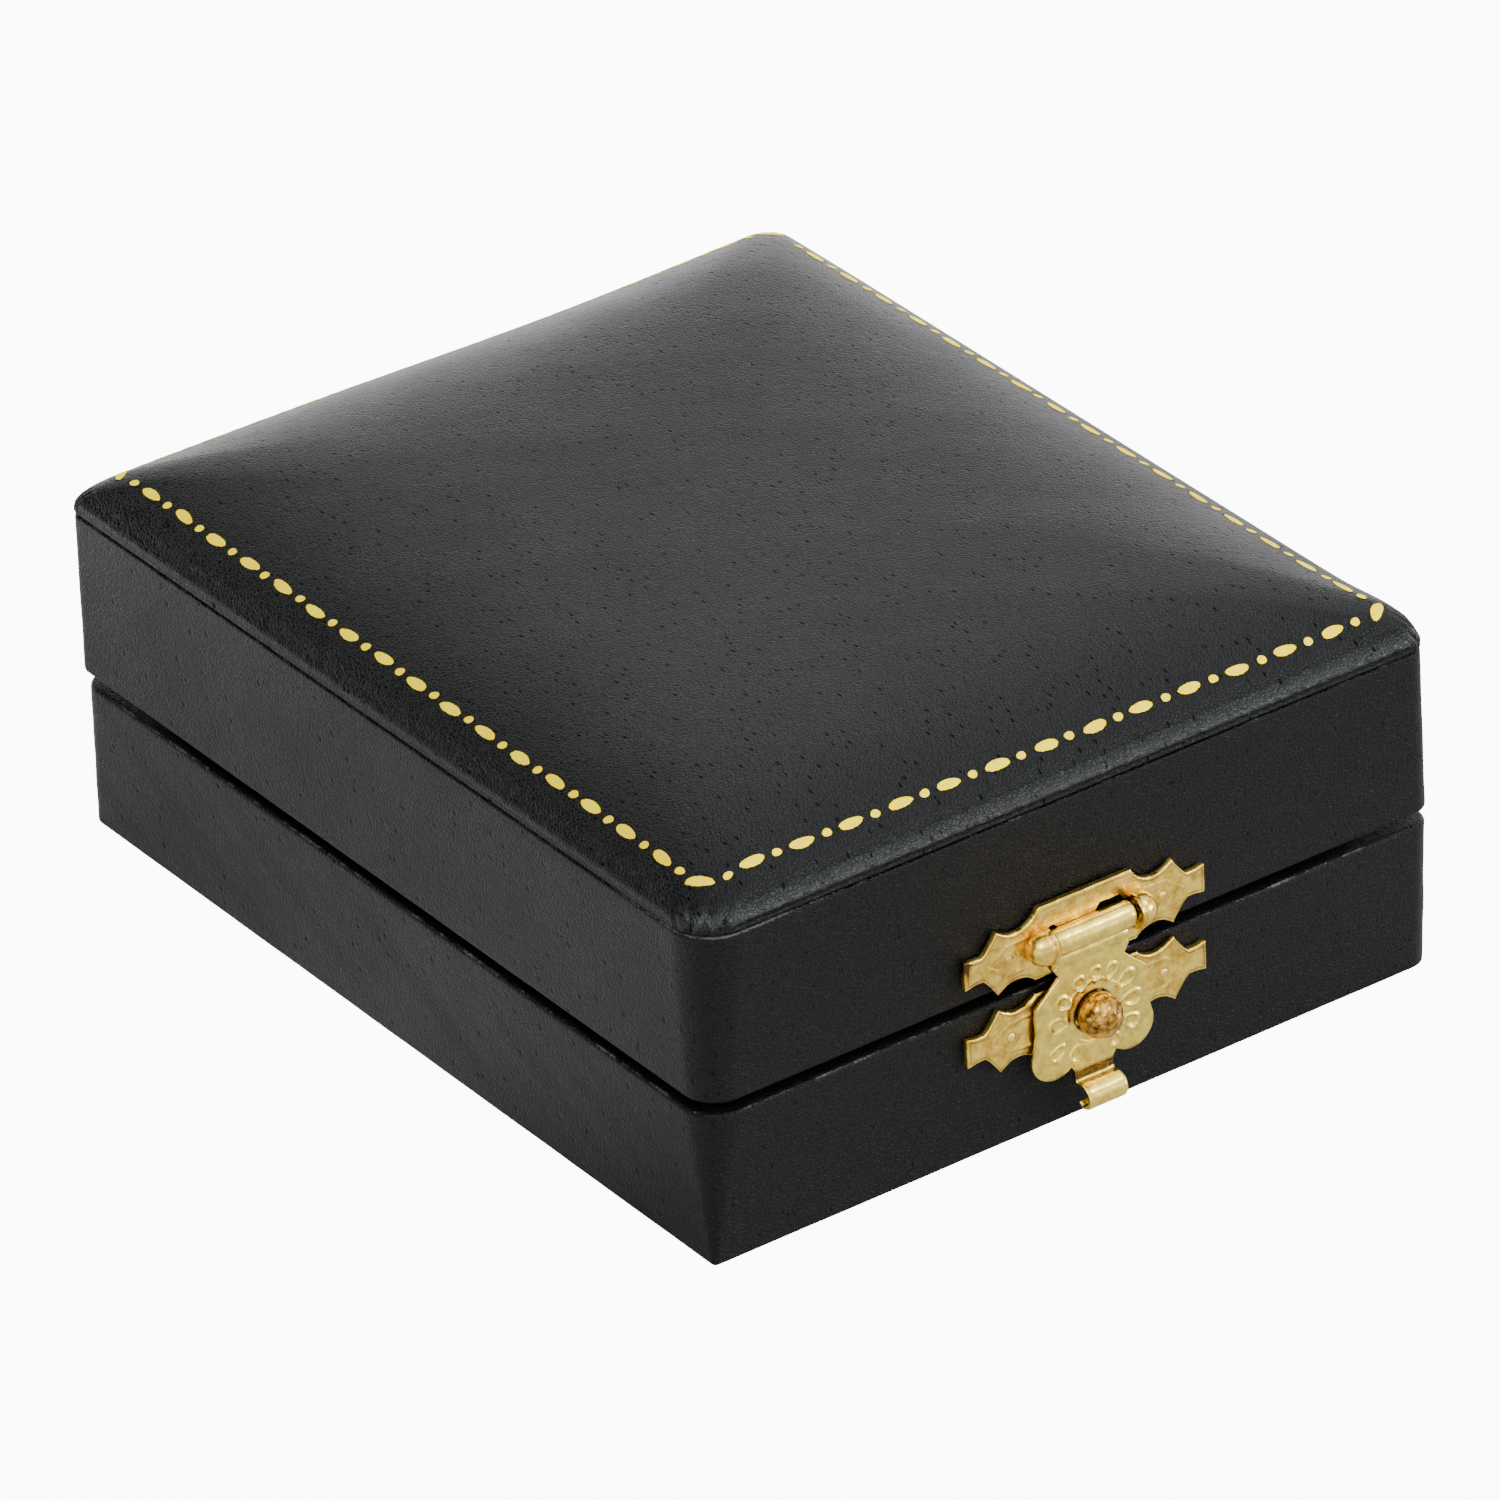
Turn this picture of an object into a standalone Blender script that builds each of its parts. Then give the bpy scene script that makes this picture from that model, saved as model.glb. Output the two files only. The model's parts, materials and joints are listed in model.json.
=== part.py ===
"""Hinged jewelry gift box: leatherette-covered base and padded lid, stamped brass clasp.

Frame: origin at the centre of the underside, +X to the right along the front, +Y to the back
(the clasp is on the -Y side), +Z up.  Lengths are in metres; MM turns millimetres into metres.
"""
import math

import bmesh
import bpy
from mathutils import Matrix, Vector

MM = 0.001

# Overall box
WIDTH = 76.0 * MM
DEPTH = 93.4 * MM
BASE_RIM_Z = 14.1 * MM
RIM_GAP = 1.05 * MM
LID_SIDE_HEIGHT = 15.6 * MM
SEAM_GAP = 0.3 * MM
DOME_EDGE_RISE = 3.5 * MM
DOME_EDGE_RUN = 3.2 * MM
DOME_CROWN_RISE = 3.6 * MM

# Taper and corner radii of the outside
BASE_FOOT_INSET = 0.4 * MM
LID_SEAM_INSET = 0.2 * MM
BASE_FOOT_RADIUS = 2.0 * MM
BASE_RIM_RADIUS = 3.4 * MM
LID_RIM_RADIUS = 3.3 * MM
LID_SEAM_RADIUS = 4.2 * MM
LEAST_RADIUS = 0.8 * MM
CORNER_STEPS = 5

# Walls and fits
SKIN = 0.7 * MM
GAP = 0.3 * MM
WALL = 3.0 * MM
FLOOR = 1.6 * MM
LID_BOARD = 2.0 * MM
SKIN_FLANGE = 3.0 * MM
FOOT_SHEET = 0.6 * MM
LIP_WALL = 1.0 * MM
LIP_RISE = 3.1 * MM
FOAM_HEIGHT = 5.1 * MM
PAD_HEIGHT = 3.2 * MM
PAD_CROWN = 0.5 * MM
LINING_DEPTH = 6.8 * MM
LINING_CROWN = 2.0 * MM

# Slits in the insert pad
SLIT_WIDTH = 1.6 * MM
SLIT_LENGTH = 24.0 * MM
CORNER_SLIT_LENGTH = 7.0 * MM
SLIT_Y = 8.0 * MM
CORNER_SLIT_FROM_SIDE = 16.0 * MM
CORNER_SLIT_FROM_FRONT = 22.7 * MM

# Clasp
CLASP_X = 0.45 * MM
CLASP_RISE = 3.15 * MM
STRIKE_DROP = 3.35 * MM
SHEET = 0.45 * MM
PLATE_HALF_LENGTH = 12.5 * MM
PLATE_TIP_HALF = 1.2 * MM
PLATE_STEP_X = 10.6 * MM
PLATE_CUSP_X = 9.15 * MM
PLATE_CUSP_Z = 3.05 * MM
PLATE_SCALLOP_X = 7.2 * MM
PLATE_SCALLOP_Z = 2.25 * MM
PLATE_CENTRE_X = 5.3 * MM
PLATE_CENTRE_Z = 3.1 * MM
CLASP_TOP_X = 4.8 * MM
CLASP_TOP_Z = 3.75 * MM
PIN_RISE = 0.3 * MM
PIN_RADIUS = 0.5 * MM
KNUCKLE_WALL = 0.75 * MM
KNUCKLE_LENGTH = 2.2 * MM
KNUCKLE_END_WALL = 0.6 * MM
HASP_SHEET = 0.4 * MM
HASP_NECK_HALF = 3.95 * MM
HASP_NOTCH_HALF = 3.45 * MM
HASP_BODY_HALF = 5.9 * MM
HASP_LOBE_HALF = 6.3 * MM
HASP_TAIL_HALF = 2.0 * MM
ROLL_FREE_END = 55.0
ROLL_LEAVES_AT = 220.0
KNOB_DROP = 0.15 * MM
KNOB_RADIUS = 2.0 * MM
KNOB_CENTRE_STAND = 2.4 * MM
KNOB_SHANK_RADIUS = 1.0 * MM

# Nails
NAIL_RADIUS = 0.3 * MM
NAIL_HEAD_RADIUS = 0.9 * MM
NAIL_HEAD_HEIGHT = 0.25 * MM
NAIL_DEPTH = 2.6 * MM
FRONT_NAIL_X = 8.0 * MM

# Rear hinges
HINGE_FROM_SIDE = 16.0 * MM
HINGE_INSET_Y = 0.4 * MM
HINGE_HALF_LENGTH = 6.0 * MM
HINGE_MID_HALF = 2.0 * MM
HINGE_PIN_RADIUS = 0.4 * MM
HINGE_NAIL_X = 3.8 * MM

# Worked out from the values above
LID_RIM_Z = BASE_RIM_Z + RIM_GAP
SEAM_Z = LID_RIM_Z + LID_SIDE_HEIGHT
TOP_COVER_Z = SEAM_Z + SEAM_GAP
FRONT_Y = -DEPTH / 2
BACK_Y = DEPTH / 2
HINGE_Y = BACK_Y - HINGE_INSET_Y
HINGE_Z = BASE_RIM_Z + RIM_GAP / 2
WALL_INSET = SKIN + GAP
WALL_INNER_INSET = WALL_INSET + WALL
LIP_INSET = WALL_INNER_INSET + GAP
LIP_INNER_INSET = LIP_INSET + LIP_WALL
FLOOR_TOP_Z = SKIN + GAP + FLOOR
HOLE_RADIUS = NAIL_RADIUS + GAP
PLATE_STAND = GAP + SHEET
STRIKE_Z = BASE_RIM_Z - STRIKE_DROP
CLASP_Z = LID_RIM_Z + CLASP_RISE
KNOB_Z = STRIKE_Z - KNOB_DROP
KNOB_HOLE_RADIUS = KNOB_RADIUS + GAP
PIN_Z = CLASP_Z + PIN_RISE
ROLL_RADIUS = PIN_RADIUS + GAP + HASP_SHEET / 2
BARREL_RADIUS = ROLL_RADIUS + HASP_SHEET / 2
PIN_STAND = BARREL_RADIUS + GAP
HASP_STAND = PLATE_STAND + GAP + HASP_SHEET / 2
KNUCKLE_RADIUS = PIN_RADIUS + GAP + KNUCKLE_WALL
KNUCKLE_START_X = HASP_NECK_HALF + 1.2 * GAP
KNUCKLE_END_X = KNUCKLE_START_X + KNUCKLE_LENGTH
PIN_HALF_LENGTH = KNUCKLE_END_X - KNUCKLE_END_WALL - GAP
HINGE_X = WIDTH / 2 - HINGE_FROM_SIDE
HINGE_BARREL_RADIUS = RIM_GAP / 2 + SKIN
HINGE_LEAF_REACH = WALL_INNER_INSET - HINGE_INSET_Y
HINGE_NAIL_REACH = (HINGE_BARREL_RADIUS + GAP + HINGE_LEAF_REACH) / 2
CORNER_SLIT_X = WIDTH / 2 - CORNER_SLIT_FROM_SIDE
CORNER_SLIT_Y = CORNER_SLIT_FROM_FRONT - DEPTH / 2


# ---------------------------------------------------------------- helpers

def clear_scene():
    """Remove every object, so that the model starts from nothing."""
    for old in list(bpy.data.objects):
        bpy.data.objects.remove(old, do_unlink=True)


def material(name, colour, roughness, metallic=0.0):
    """A Principled material with one colour, roughness and metallic value."""
    made = bpy.data.materials.new(name)
    made.use_nodes = True
    shader = made.node_tree.nodes["Principled BSDF"]
    shader.inputs["Base Color"].default_value = (*colour, 1.0)
    shader.inputs["Roughness"].default_value = roughness
    shader.inputs["Metallic"].default_value = metallic
    return made


def make_object(name, bm, finish, origin=Vector((0.0, 0.0, 0.0)), parent=None):
    """Close a bmesh into an object whose origin is at the given point."""
    bmesh.ops.recalc_face_normals(bm, faces=bm.faces)
    bmesh.ops.translate(bm, verts=bm.verts, vec=-origin)
    mesh = bpy.data.meshes.new(name)
    bm.to_mesh(mesh)
    bm.free()
    if finish is not None:
        mesh.materials.append(finish)
    made = bpy.data.objects.new(name, mesh)
    made.location = origin
    bpy.context.scene.collection.objects.link(made)
    if parent is not None:
        made.parent = parent
        made.location = origin - parent.location
    return made


def make_axis(name, place):
    """An empty on a joint's axis, which the moving pieces hang from."""
    axis = bpy.data.objects.new(name, None)
    axis.location = place
    bpy.context.scene.collection.objects.link(axis)
    return axis


def cutter(name, bm):
    """A hidden wire object used only by Boolean modifiers."""
    tool = make_object(name, bm, None)
    tool.hide_render = True
    tool.display_type = "WIRE"
    return tool


def boolean(target, tool, operation):
    """Add an exact Boolean modifier to the target."""
    step = target.modifiers.new(tool.name, "BOOLEAN")
    step.operation = operation
    step.solver = "EXACT"
    step.object = tool


def outline_points(half_x, half_y, radius):
    """A rectangle with round corners, anticlockwise, CORNER_STEPS + 1 points a corner."""
    points = []
    corners = ((1, 1, 0), (-1, 1, 90), (-1, -1, 180), (1, -1, 270))
    for sign_x, sign_y, start in corners:
        centre_x = sign_x * (half_x - radius)
        centre_y = sign_y * (half_y - radius)
        for step in range(CORNER_STEPS + 1):
            angle = math.radians(start + 90.0 * step / CORNER_STEPS)
            points.append((centre_x + radius * math.cos(angle), centre_y + radius * math.sin(angle)))
    return points


def loft(levels, ring=False):
    """Join round-cornered rectangles (z, half_x, half_y, radius) into one closed body.

    A ring joins its last level back to its first; otherwise both ends are capped.
    """
    bm = bmesh.new()
    loops = []
    for z, half_x, half_y, radius in levels:
        loops.append([bm.verts.new((x, y, z)) for x, y in outline_points(half_x, half_y, radius)])
    count = len(loops[0])
    pairs = list(zip(loops, loops[1:]))
    if ring:
        pairs.append((loops[-1], loops[0]))
    else:
        bm.faces.new(loops[0])
        bm.faces.new(loops[-1])
    for lower, upper in pairs:
        for index in range(count):
            after = (index + 1) % count
            bm.faces.new((lower[index], lower[after], upper[after], upper[index]))
    return bm


def box(low, high):
    """A plain block between two corners, used for cutters and leaves."""
    bm = bmesh.new()
    bmesh.ops.create_cube(bm, size=1.0)
    size = Vector(high) - Vector(low)
    centre = (Vector(high) + Vector(low)) / 2
    bmesh.ops.scale(bm, vec=size, verts=bm.verts)
    bmesh.ops.translate(bm, vec=centre, verts=bm.verts)
    return bm


def turned(profile, axis, base, segments, bm=None):
    """Turn (distance along axis, radius) points round an axis through base; ends at radius 0."""
    bm = bm or bmesh.new()
    to_axis = Vector((0, 0, 1)).rotation_difference(Vector(axis)).to_matrix().to_4x4()
    place = Matrix.Translation(base) @ to_axis
    rings = []
    for along, radius in profile:
        if radius == 0.0:
            rings.append([bm.verts.new(place @ Vector((0, 0, along)))])
            continue
        angles = [2 * math.pi * index / segments for index in range(segments)]
        spots = [Vector((radius * math.cos(a), radius * math.sin(a), along)) for a in angles]
        rings.append([bm.verts.new(place @ spot) for spot in spots])
    for first, second in zip(rings, rings[1:]):
        for index in range(segments):
            after = (index + 1) % segments
            corners = [first[index % len(first)], first[after % len(first)],
                       second[after % len(second)], second[index % len(second)]]
            bm.faces.new(list(dict.fromkeys(corners)))
    return bm


def rod(start, end, radius, axis, base, segments=12, bm=None):
    """A plain round bar from start to end along an axis through base."""
    return turned([(start, 0.0), (start, radius), (end, radius), (end, 0.0)], axis, base, segments, bm)


def stamped_sheet(points, near, far):
    """An outline of (x, z) points given a thickness from y = near to y = far."""
    bm = bmesh.new()
    front = [bm.verts.new((x, near, z)) for x, z in points]
    back = [bm.verts.new((x, far, z)) for x, z in points]
    bm.faces.new(front)
    bm.faces.new(back)
    for index in range(len(points)):
        after = (index + 1) % len(points)
        bm.faces.new((front[index], front[after], back[after], back[index]))
    return bm


# ---------------------------------------------------------------- outside shape

def mix(low, high, share):
    """A value the given share of the way from low to high."""
    return low + (high - low) * share


def base_level(z, inset, shape_z=None):
    """Outline of the base at height z, moved inwards by inset."""
    share = (z if shape_z is None else shape_z) / BASE_RIM_Z
    lean = mix(BASE_FOOT_INSET, 0.0, share)
    radius = max(mix(BASE_FOOT_RADIUS, BASE_RIM_RADIUS, share) - inset, LEAST_RADIUS)
    return (z, WIDTH / 2 - lean - inset, DEPTH / 2 - lean - inset, radius)


def lid_level(z, inset):
    """Outline of the lid's side at height z, moved inwards by inset."""
    share = min(max((z - LID_RIM_Z) / LID_SIDE_HEIGHT, 0.0), 1.0)
    lean = mix(0.0, LID_SEAM_INSET, share)
    radius = max(mix(LID_RIM_RADIUS, LID_SEAM_RADIUS, share) - inset, LEAST_RADIUS)
    return (z, WIDTH / 2 - lean - inset, DEPTH / 2 - lean - inset, radius)


def dome_levels(drop, first_inset):
    """Outlines of the padded top, from its edge to its crown, lowered by drop.

    The edge is a quarter of an ellipse; inside it the rise fades out as 1 - exp(-distance).
    """
    edge_angle = math.radians(42.0)
    run_axis = DOME_EDGE_RUN / (1 - math.cos(edge_angle))
    rise_axis = DOME_EDGE_RISE / math.sin(edge_angle)
    slope = rise_axis / run_axis / math.tan(edge_angle)
    fade = DOME_CROWN_RISE / slope
    levels = []
    for step in range(5):
        angle = edge_angle * step / 4
        inset = run_axis * (1 - math.cos(angle))
        levels.append((inset, rise_axis * math.sin(angle)))
    for distance in (3 * MM, 7 * MM, 13 * MM, 22 * MM):
        rise = DOME_EDGE_RISE + DOME_CROWN_RISE * (1 - math.exp(-distance / fade))
        levels.append((DOME_EDGE_RUN + distance, rise))
    made = []
    for inset, rise in levels:
        half_x = WIDTH / 2 - LID_SEAM_INSET - inset - first_inset
        half_y = DEPTH / 2 - LID_SEAM_INSET - inset - first_inset
        radius = min(LID_SEAM_RADIUS + 0.3 * inset, 0.95 * min(half_x, half_y))
        if not made:
            made.append((TOP_COVER_Z, half_x, half_y, radius))
        elif rise > drop + 0.1 * MM:
            made.append((TOP_COVER_Z + rise - drop, half_x, half_y, radius))
    return made


# ---------------------------------------------------------------- base pieces

def nail_holes(spots, axis, name):
    """One cutter with a bar at each nail, wider than its shank by the gap."""
    bm = bmesh.new()
    for spot in spots:
        rod(-NAIL_DEPTH - GAP, 3 * SHEET, HOLE_RADIUS, axis, spot, 8, bm)
    return cutter(name, bm)


def make_base_tray(finish, holes):
    """Stiff tray: floor and four walls, open at the top."""
    top = BASE_RIM_Z - SKIN - GAP
    bottom = SKIN + GAP
    levels = [
        base_level(bottom, WALL_INSET),
        base_level(top, WALL_INSET),
        base_level(top, WALL_INNER_INSET),
        base_level(FLOOR_TOP_Z, WALL_INNER_INSET),
    ]
    tray = make_object("base_tray", loft(levels), finish)
    for tool in holes:
        boolean(tray, tool, "DIFFERENCE")


def make_base_cover(finish, holes):
    """Leatherette skin: outside of the walls, turned over the rim and under the floor."""
    turn = SKIN / 2
    levels = [
        base_level(0.0, SKIN_FLANGE),
        base_level(0.0, turn),
        base_level(turn, 0.0),
        base_level(BASE_RIM_Z - turn, 0.0),
        base_level(BASE_RIM_Z, turn),
        base_level(BASE_RIM_Z, WALL_INNER_INSET),
        base_level(BASE_RIM_Z - SKIN, WALL_INNER_INSET),
        base_level(BASE_RIM_Z - SKIN, SKIN),
        base_level(SKIN, SKIN),
        base_level(SKIN, SKIN_FLANGE),
    ]
    skin = make_object("base_cover", loft(levels, ring=True), finish)
    for tool in holes:
        boolean(skin, tool, "DIFFERENCE")


def make_base_inside(card, foam, velvet, paper):
    """Foot sheet, raised lip, foam block and the slit pad on it."""
    foot_inset = SKIN_FLANGE + GAP
    foot = [base_level(0.0, foot_inset), base_level(FOOT_SHEET, foot_inset, 0.0)]
    make_object("base_foot_sheet", loft(foot), paper)

    bottom = FLOOR_TOP_Z + GAP
    lip_top = BASE_RIM_Z + LIP_RISE
    lip = [
        base_level(bottom, LIP_INSET, BASE_RIM_Z),
        base_level(lip_top, LIP_INSET, BASE_RIM_Z),
        base_level(lip_top, LIP_INNER_INSET, BASE_RIM_Z),
        base_level(bottom, LIP_INNER_INSET, BASE_RIM_Z),
    ]
    lean = BASE_FOOT_INSET
    lip = [(z, half_x - lean, half_y - lean, radius) for z, half_x, half_y, radius in lip]
    make_object("base_lip", loft(lip, ring=True), card)

    fit = LIP_INNER_INSET + GAP + lean
    foam_top = bottom + FOAM_HEIGHT
    block = [base_level(bottom, fit, BASE_RIM_Z), base_level(foam_top, fit, BASE_RIM_Z)]
    make_object("insert_foam", loft(block), foam)

    pad_bottom = foam_top + GAP
    pad_top = pad_bottom + PAD_HEIGHT
    round_over = 1.2 * MM
    pad = [
        base_level(pad_bottom, fit, BASE_RIM_Z),
        base_level(pad_top - round_over, fit, BASE_RIM_Z),
        base_level(pad_top - 0.3 * round_over, fit + 0.3 * round_over, BASE_RIM_Z),
        base_level(pad_top, fit + round_over, BASE_RIM_Z),
        base_level(pad_top + PAD_CROWN, fit + 12 * round_over, BASE_RIM_Z),
    ]
    top_pad = make_object("insert_pad", loft(pad), velvet)
    slits = [
        (0.0, SLIT_Y, SLIT_LENGTH),
        (-CORNER_SLIT_X, CORNER_SLIT_Y, CORNER_SLIT_LENGTH),
        (CORNER_SLIT_X, CORNER_SLIT_Y, CORNER_SLIT_LENGTH),
    ]
    for number, (x, y, length) in enumerate(slits):
        low = (x - length / 2, y - SLIT_WIDTH / 2, pad_bottom - MM)
        high = (x + length / 2, y + SLIT_WIDTH / 2, pad_top + 2 * MM)
        boolean(top_pad, cutter(f"slit_{number}", box(low, high)), "DIFFERENCE")


# ---------------------------------------------------------------- lid pieces

def make_lid(lid_axis, leather, card, foam, satin, frame_holes, skin_holes):
    """Stiff frame, side skin, padded top with its foam, and the lining pad."""
    frame_bottom = LID_RIM_Z + SKIN + GAP
    frame_top = SEAM_Z - SKIN - GAP
    ceiling = frame_top - LID_BOARD
    frame = [
        lid_level(frame_top, WALL_INSET),
        lid_level(frame_bottom, WALL_INSET),
        lid_level(frame_bottom, WALL_INNER_INSET),
        lid_level(ceiling, WALL_INNER_INSET),
    ]
    shell = make_object("lid_frame", loft(frame), card, lid_axis.location, lid_axis)
    for tool in frame_holes:
        boolean(shell, tool, "DIFFERENCE")

    turn = SKIN / 2
    side = [
        lid_level(LID_RIM_Z, WALL_INNER_INSET),
        lid_level(LID_RIM_Z, turn),
        lid_level(LID_RIM_Z + turn, 0.0),
        lid_level(SEAM_Z - turn, 0.0),
        lid_level(SEAM_Z, turn),
        lid_level(SEAM_Z, SKIN_FLANGE),
        lid_level(SEAM_Z - SKIN, SKIN_FLANGE),
        lid_level(SEAM_Z - SKIN, SKIN),
        lid_level(LID_RIM_Z + SKIN, SKIN),
        lid_level(LID_RIM_Z + SKIN, WALL_INNER_INSET),
    ]
    skin = make_object("lid_side_cover", loft(side, ring=True), leather, lid_axis.location, lid_axis)
    for tool in skin_holes:
        boolean(skin, tool, "DIFFERENCE")

    outer = dome_levels(0.0, 0.0)
    inner = dome_levels(SKIN, SKIN)
    top = list(reversed(inner)) + outer
    make_object("lid_top_cover", loft(top), leather, lid_axis.location, lid_axis)

    padding = dome_levels(SKIN + GAP, SKIN + GAP)
    seat = lid_level(frame_top + GAP, SKIN_FLANGE + GAP)
    step = (TOP_COVER_Z, *seat[1:])
    make_object("lid_foam", loft([seat, step] + padding), foam, lid_axis.location, lid_axis)

    fit = WALL_INNER_INSET + GAP
    lining_top = ceiling - GAP
    lining_edge = lining_top - LINING_DEPTH + LINING_CROWN
    lining = [
        lid_level(lining_top, fit),
        lid_level(lining_edge + MM, fit),
        lid_level(lining_edge, fit + MM),
        lid_level(lining_edge - 0.6 * LINING_CROWN, fit + 6 * MM),
        lid_level(lining_edge - LINING_CROWN, fit + 16 * MM),
    ]
    lining = [(z, half_x - LID_SEAM_INSET, half_y - LID_SEAM_INSET, radius)
              for z, half_x, half_y, radius in lining]
    make_object("lid_lining_pad", loft(lining), satin, lid_axis.location, lid_axis)


# ---------------------------------------------------------------- clasp

def scallop(from_x, from_z, to_x, to_z, low_x, low_z):
    """Points of a smooth hollow from one cusp to the next, through its lowest point."""
    points = []
    for step in range(1, 6):
        share = step / 6
        control_x = 2 * low_x - (from_x + to_x) / 2
        control_z = 2 * low_z - (from_z + to_z) / 2
        first = (1 - share) ** 2
        second = 2 * share * (1 - share)
        third = share ** 2
        points.append((first * from_x + second * control_x + third * to_x,
                       first * from_z + second * control_z + third * to_z))
    return points


def wing_edge(centre_x, centre_z):
    """Upper edge of the right wing, from the blunt tip inwards to the plate's centre."""
    edge = [
        (PLATE_HALF_LENGTH, PLATE_TIP_HALF),
        (PLATE_STEP_X, PLATE_TIP_HALF),
        (PLATE_CUSP_X, PLATE_CUSP_Z),
    ]
    edge += scallop(PLATE_CUSP_X, PLATE_CUSP_Z, centre_x, centre_z, PLATE_SCALLOP_X, PLATE_SCALLOP_Z)
    edge.append((centre_x, centre_z))
    return edge


def plate_outline(top_edge, bottom_edge, middle_z):
    """Whole plate outline from the upper and lower edge of its right half."""
    upper = top_edge + [(-x, z) for x, z in reversed(top_edge)]
    lower = [(-x, -z) for x, z in bottom_edge] + [(x, -z) for x, z in reversed(bottom_edge)]
    return [(CLASP_X + x, middle_z + z) for x, z in upper + lower]


def front_nail_spots(middle_z):
    """Where the two nails of a plate pass through the front of the plate."""
    return [Vector((CLASP_X + side * FRONT_NAIL_X, FRONT_Y, middle_z)) for side in (-1, 1)]


def make_nail(name, spot, axis, stand, finish, parent=None):
    """A small nail: its head stands off the sheet by the gap, its shank goes into the wall."""
    head = stand + GAP
    profile = [
        (-NAIL_DEPTH, 0.0),
        (-NAIL_DEPTH + NAIL_RADIUS, NAIL_RADIUS),
        (head, NAIL_RADIUS),
        (head, NAIL_HEAD_RADIUS),
        (head + 0.5 * NAIL_HEAD_HEIGHT, 0.85 * NAIL_HEAD_RADIUS),
        (head + NAIL_HEAD_HEIGHT, 0.0),
    ]
    make_object(name, turned(profile, axis, spot, 8), finish, spot, parent)


def make_strike(brass, nail_finish, holes):
    """Lower plate, its two nails and the knob riveted through its centre."""
    edge = wing_edge(PLATE_CENTRE_X, PLATE_CENTRE_Z)
    outline = plate_outline(edge, edge, STRIKE_Z)
    sheet = stamped_sheet(outline, FRONT_Y - PLATE_STAND, FRONT_Y - GAP)
    plate = make_object("strike_plate", sheet, brass)
    boolean(plate, holes, "DIFFERENCE")
    knob_base = Vector((CLASP_X, FRONT_Y, KNOB_Z))
    eye = rod(0.0, 3 * SHEET, KNOB_SHANK_RADIUS + GAP, (0, -1, 0), knob_base, 16)
    boolean(plate, cutter("strike_eye", eye), "DIFFERENCE")

    for name, spot in zip(("strike_nail_left", "strike_nail_right"), front_nail_spots(STRIKE_Z)):
        make_nail(name, spot, (0, -1, 0), PLATE_STAND, nail_finish)

    seat = PLATE_STAND + GAP
    seat_angle = math.acos((KNOB_CENTRE_STAND - seat) / KNOB_RADIUS)
    profile = [(GAP, 0.0), (GAP, KNOB_SHANK_RADIUS), (seat, KNOB_SHANK_RADIUS)]
    ball_steps = 7
    for step in range(ball_steps):
        angle = seat_angle + (math.pi - seat_angle) * step / ball_steps
        along = KNOB_CENTRE_STAND - KNOB_RADIUS * math.cos(angle)
        profile.append((along, KNOB_RADIUS * math.sin(angle)))
    profile.append((KNOB_CENTRE_STAND + KNOB_RADIUS, 0.0))
    make_object("strike_knob", turned(profile, (0, -1, 0), knob_base, 20), brass, knob_base)


def make_clasp_plate(lid_axis, brass, nail_finish, holes):
    """Upper plate with a window for the hasp's barrel and two pressed knuckles for the pin."""
    top_edge = wing_edge(PLATE_CENTRE_X, PLATE_CENTRE_Z) + [(CLASP_TOP_X, CLASP_TOP_Z)]
    bottom_edge = wing_edge(PLATE_CENTRE_X, PLATE_CENTRE_Z)
    outline = plate_outline(top_edge, bottom_edge, CLASP_Z)
    sheet = stamped_sheet(outline, FRONT_Y - PLATE_STAND, FRONT_Y - GAP)
    plate = make_object("clasp_plate", sheet, brass, lid_axis.location, lid_axis)
    boolean(plate, holes, "DIFFERENCE")

    window_half = HASP_NECK_HALF + GAP
    low = (CLASP_X - window_half, FRONT_Y - 2 * PLATE_STAND, PIN_Z - BARREL_RADIUS - GAP)
    high = (CLASP_X + window_half, FRONT_Y, PIN_Z + BARREL_RADIUS + GAP)
    boolean(plate, cutter("clasp_window", box(low, high)), "DIFFERENCE")

    pin_line = Vector((CLASP_X, FRONT_Y - PIN_STAND, PIN_Z))
    for number, side in enumerate((-1, 1)):
        profile = [
            (KNUCKLE_START_X, 0.0),
            (KNUCKLE_START_X, KNUCKLE_RADIUS),
            (KNUCKLE_END_X - 0.6 * KNUCKLE_RADIUS, KNUCKLE_RADIUS),
            (KNUCKLE_END_X - 0.2 * KNUCKLE_RADIUS, 0.75 * KNUCKLE_RADIUS),
            (KNUCKLE_END_X, 0.4 * KNUCKLE_RADIUS),
            (KNUCKLE_END_X, 0.0),
        ]
        knuckle = cutter(f"knuckle_{number}", turned(profile, (side, 0, 0), pin_line, 16))
        boolean(plate, knuckle, "UNION")
    behind_low = (CLASP_X - KNUCKLE_END_X - MM, FRONT_Y - GAP, PIN_Z - 3 * MM)
    behind_high = (CLASP_X + KNUCKLE_END_X + MM, FRONT_Y + 3 * MM, PIN_Z + 3 * MM)
    boolean(plate, cutter("knuckle_back", box(behind_low, behind_high)), "DIFFERENCE")
    bore_half = PIN_HALF_LENGTH + GAP
    bore = rod(-bore_half, bore_half, PIN_RADIUS + GAP, (1, 0, 0), pin_line, 12)
    boolean(plate, cutter("knuckle_bore", bore), "DIFFERENCE")

    for name, spot in zip(("clasp_nail_left", "clasp_nail_right"), front_nail_spots(CLASP_Z)):
        make_nail(name, spot, (0, -1, 0), PLATE_STAND, nail_finish, lid_axis)
    pin = rod(-PIN_HALF_LENGTH, PIN_HALF_LENGTH, PIN_RADIUS, (1, 0, 0), pin_line, 12)
    make_object("clasp_pin", pin, brass, pin_line, lid_axis)


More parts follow.
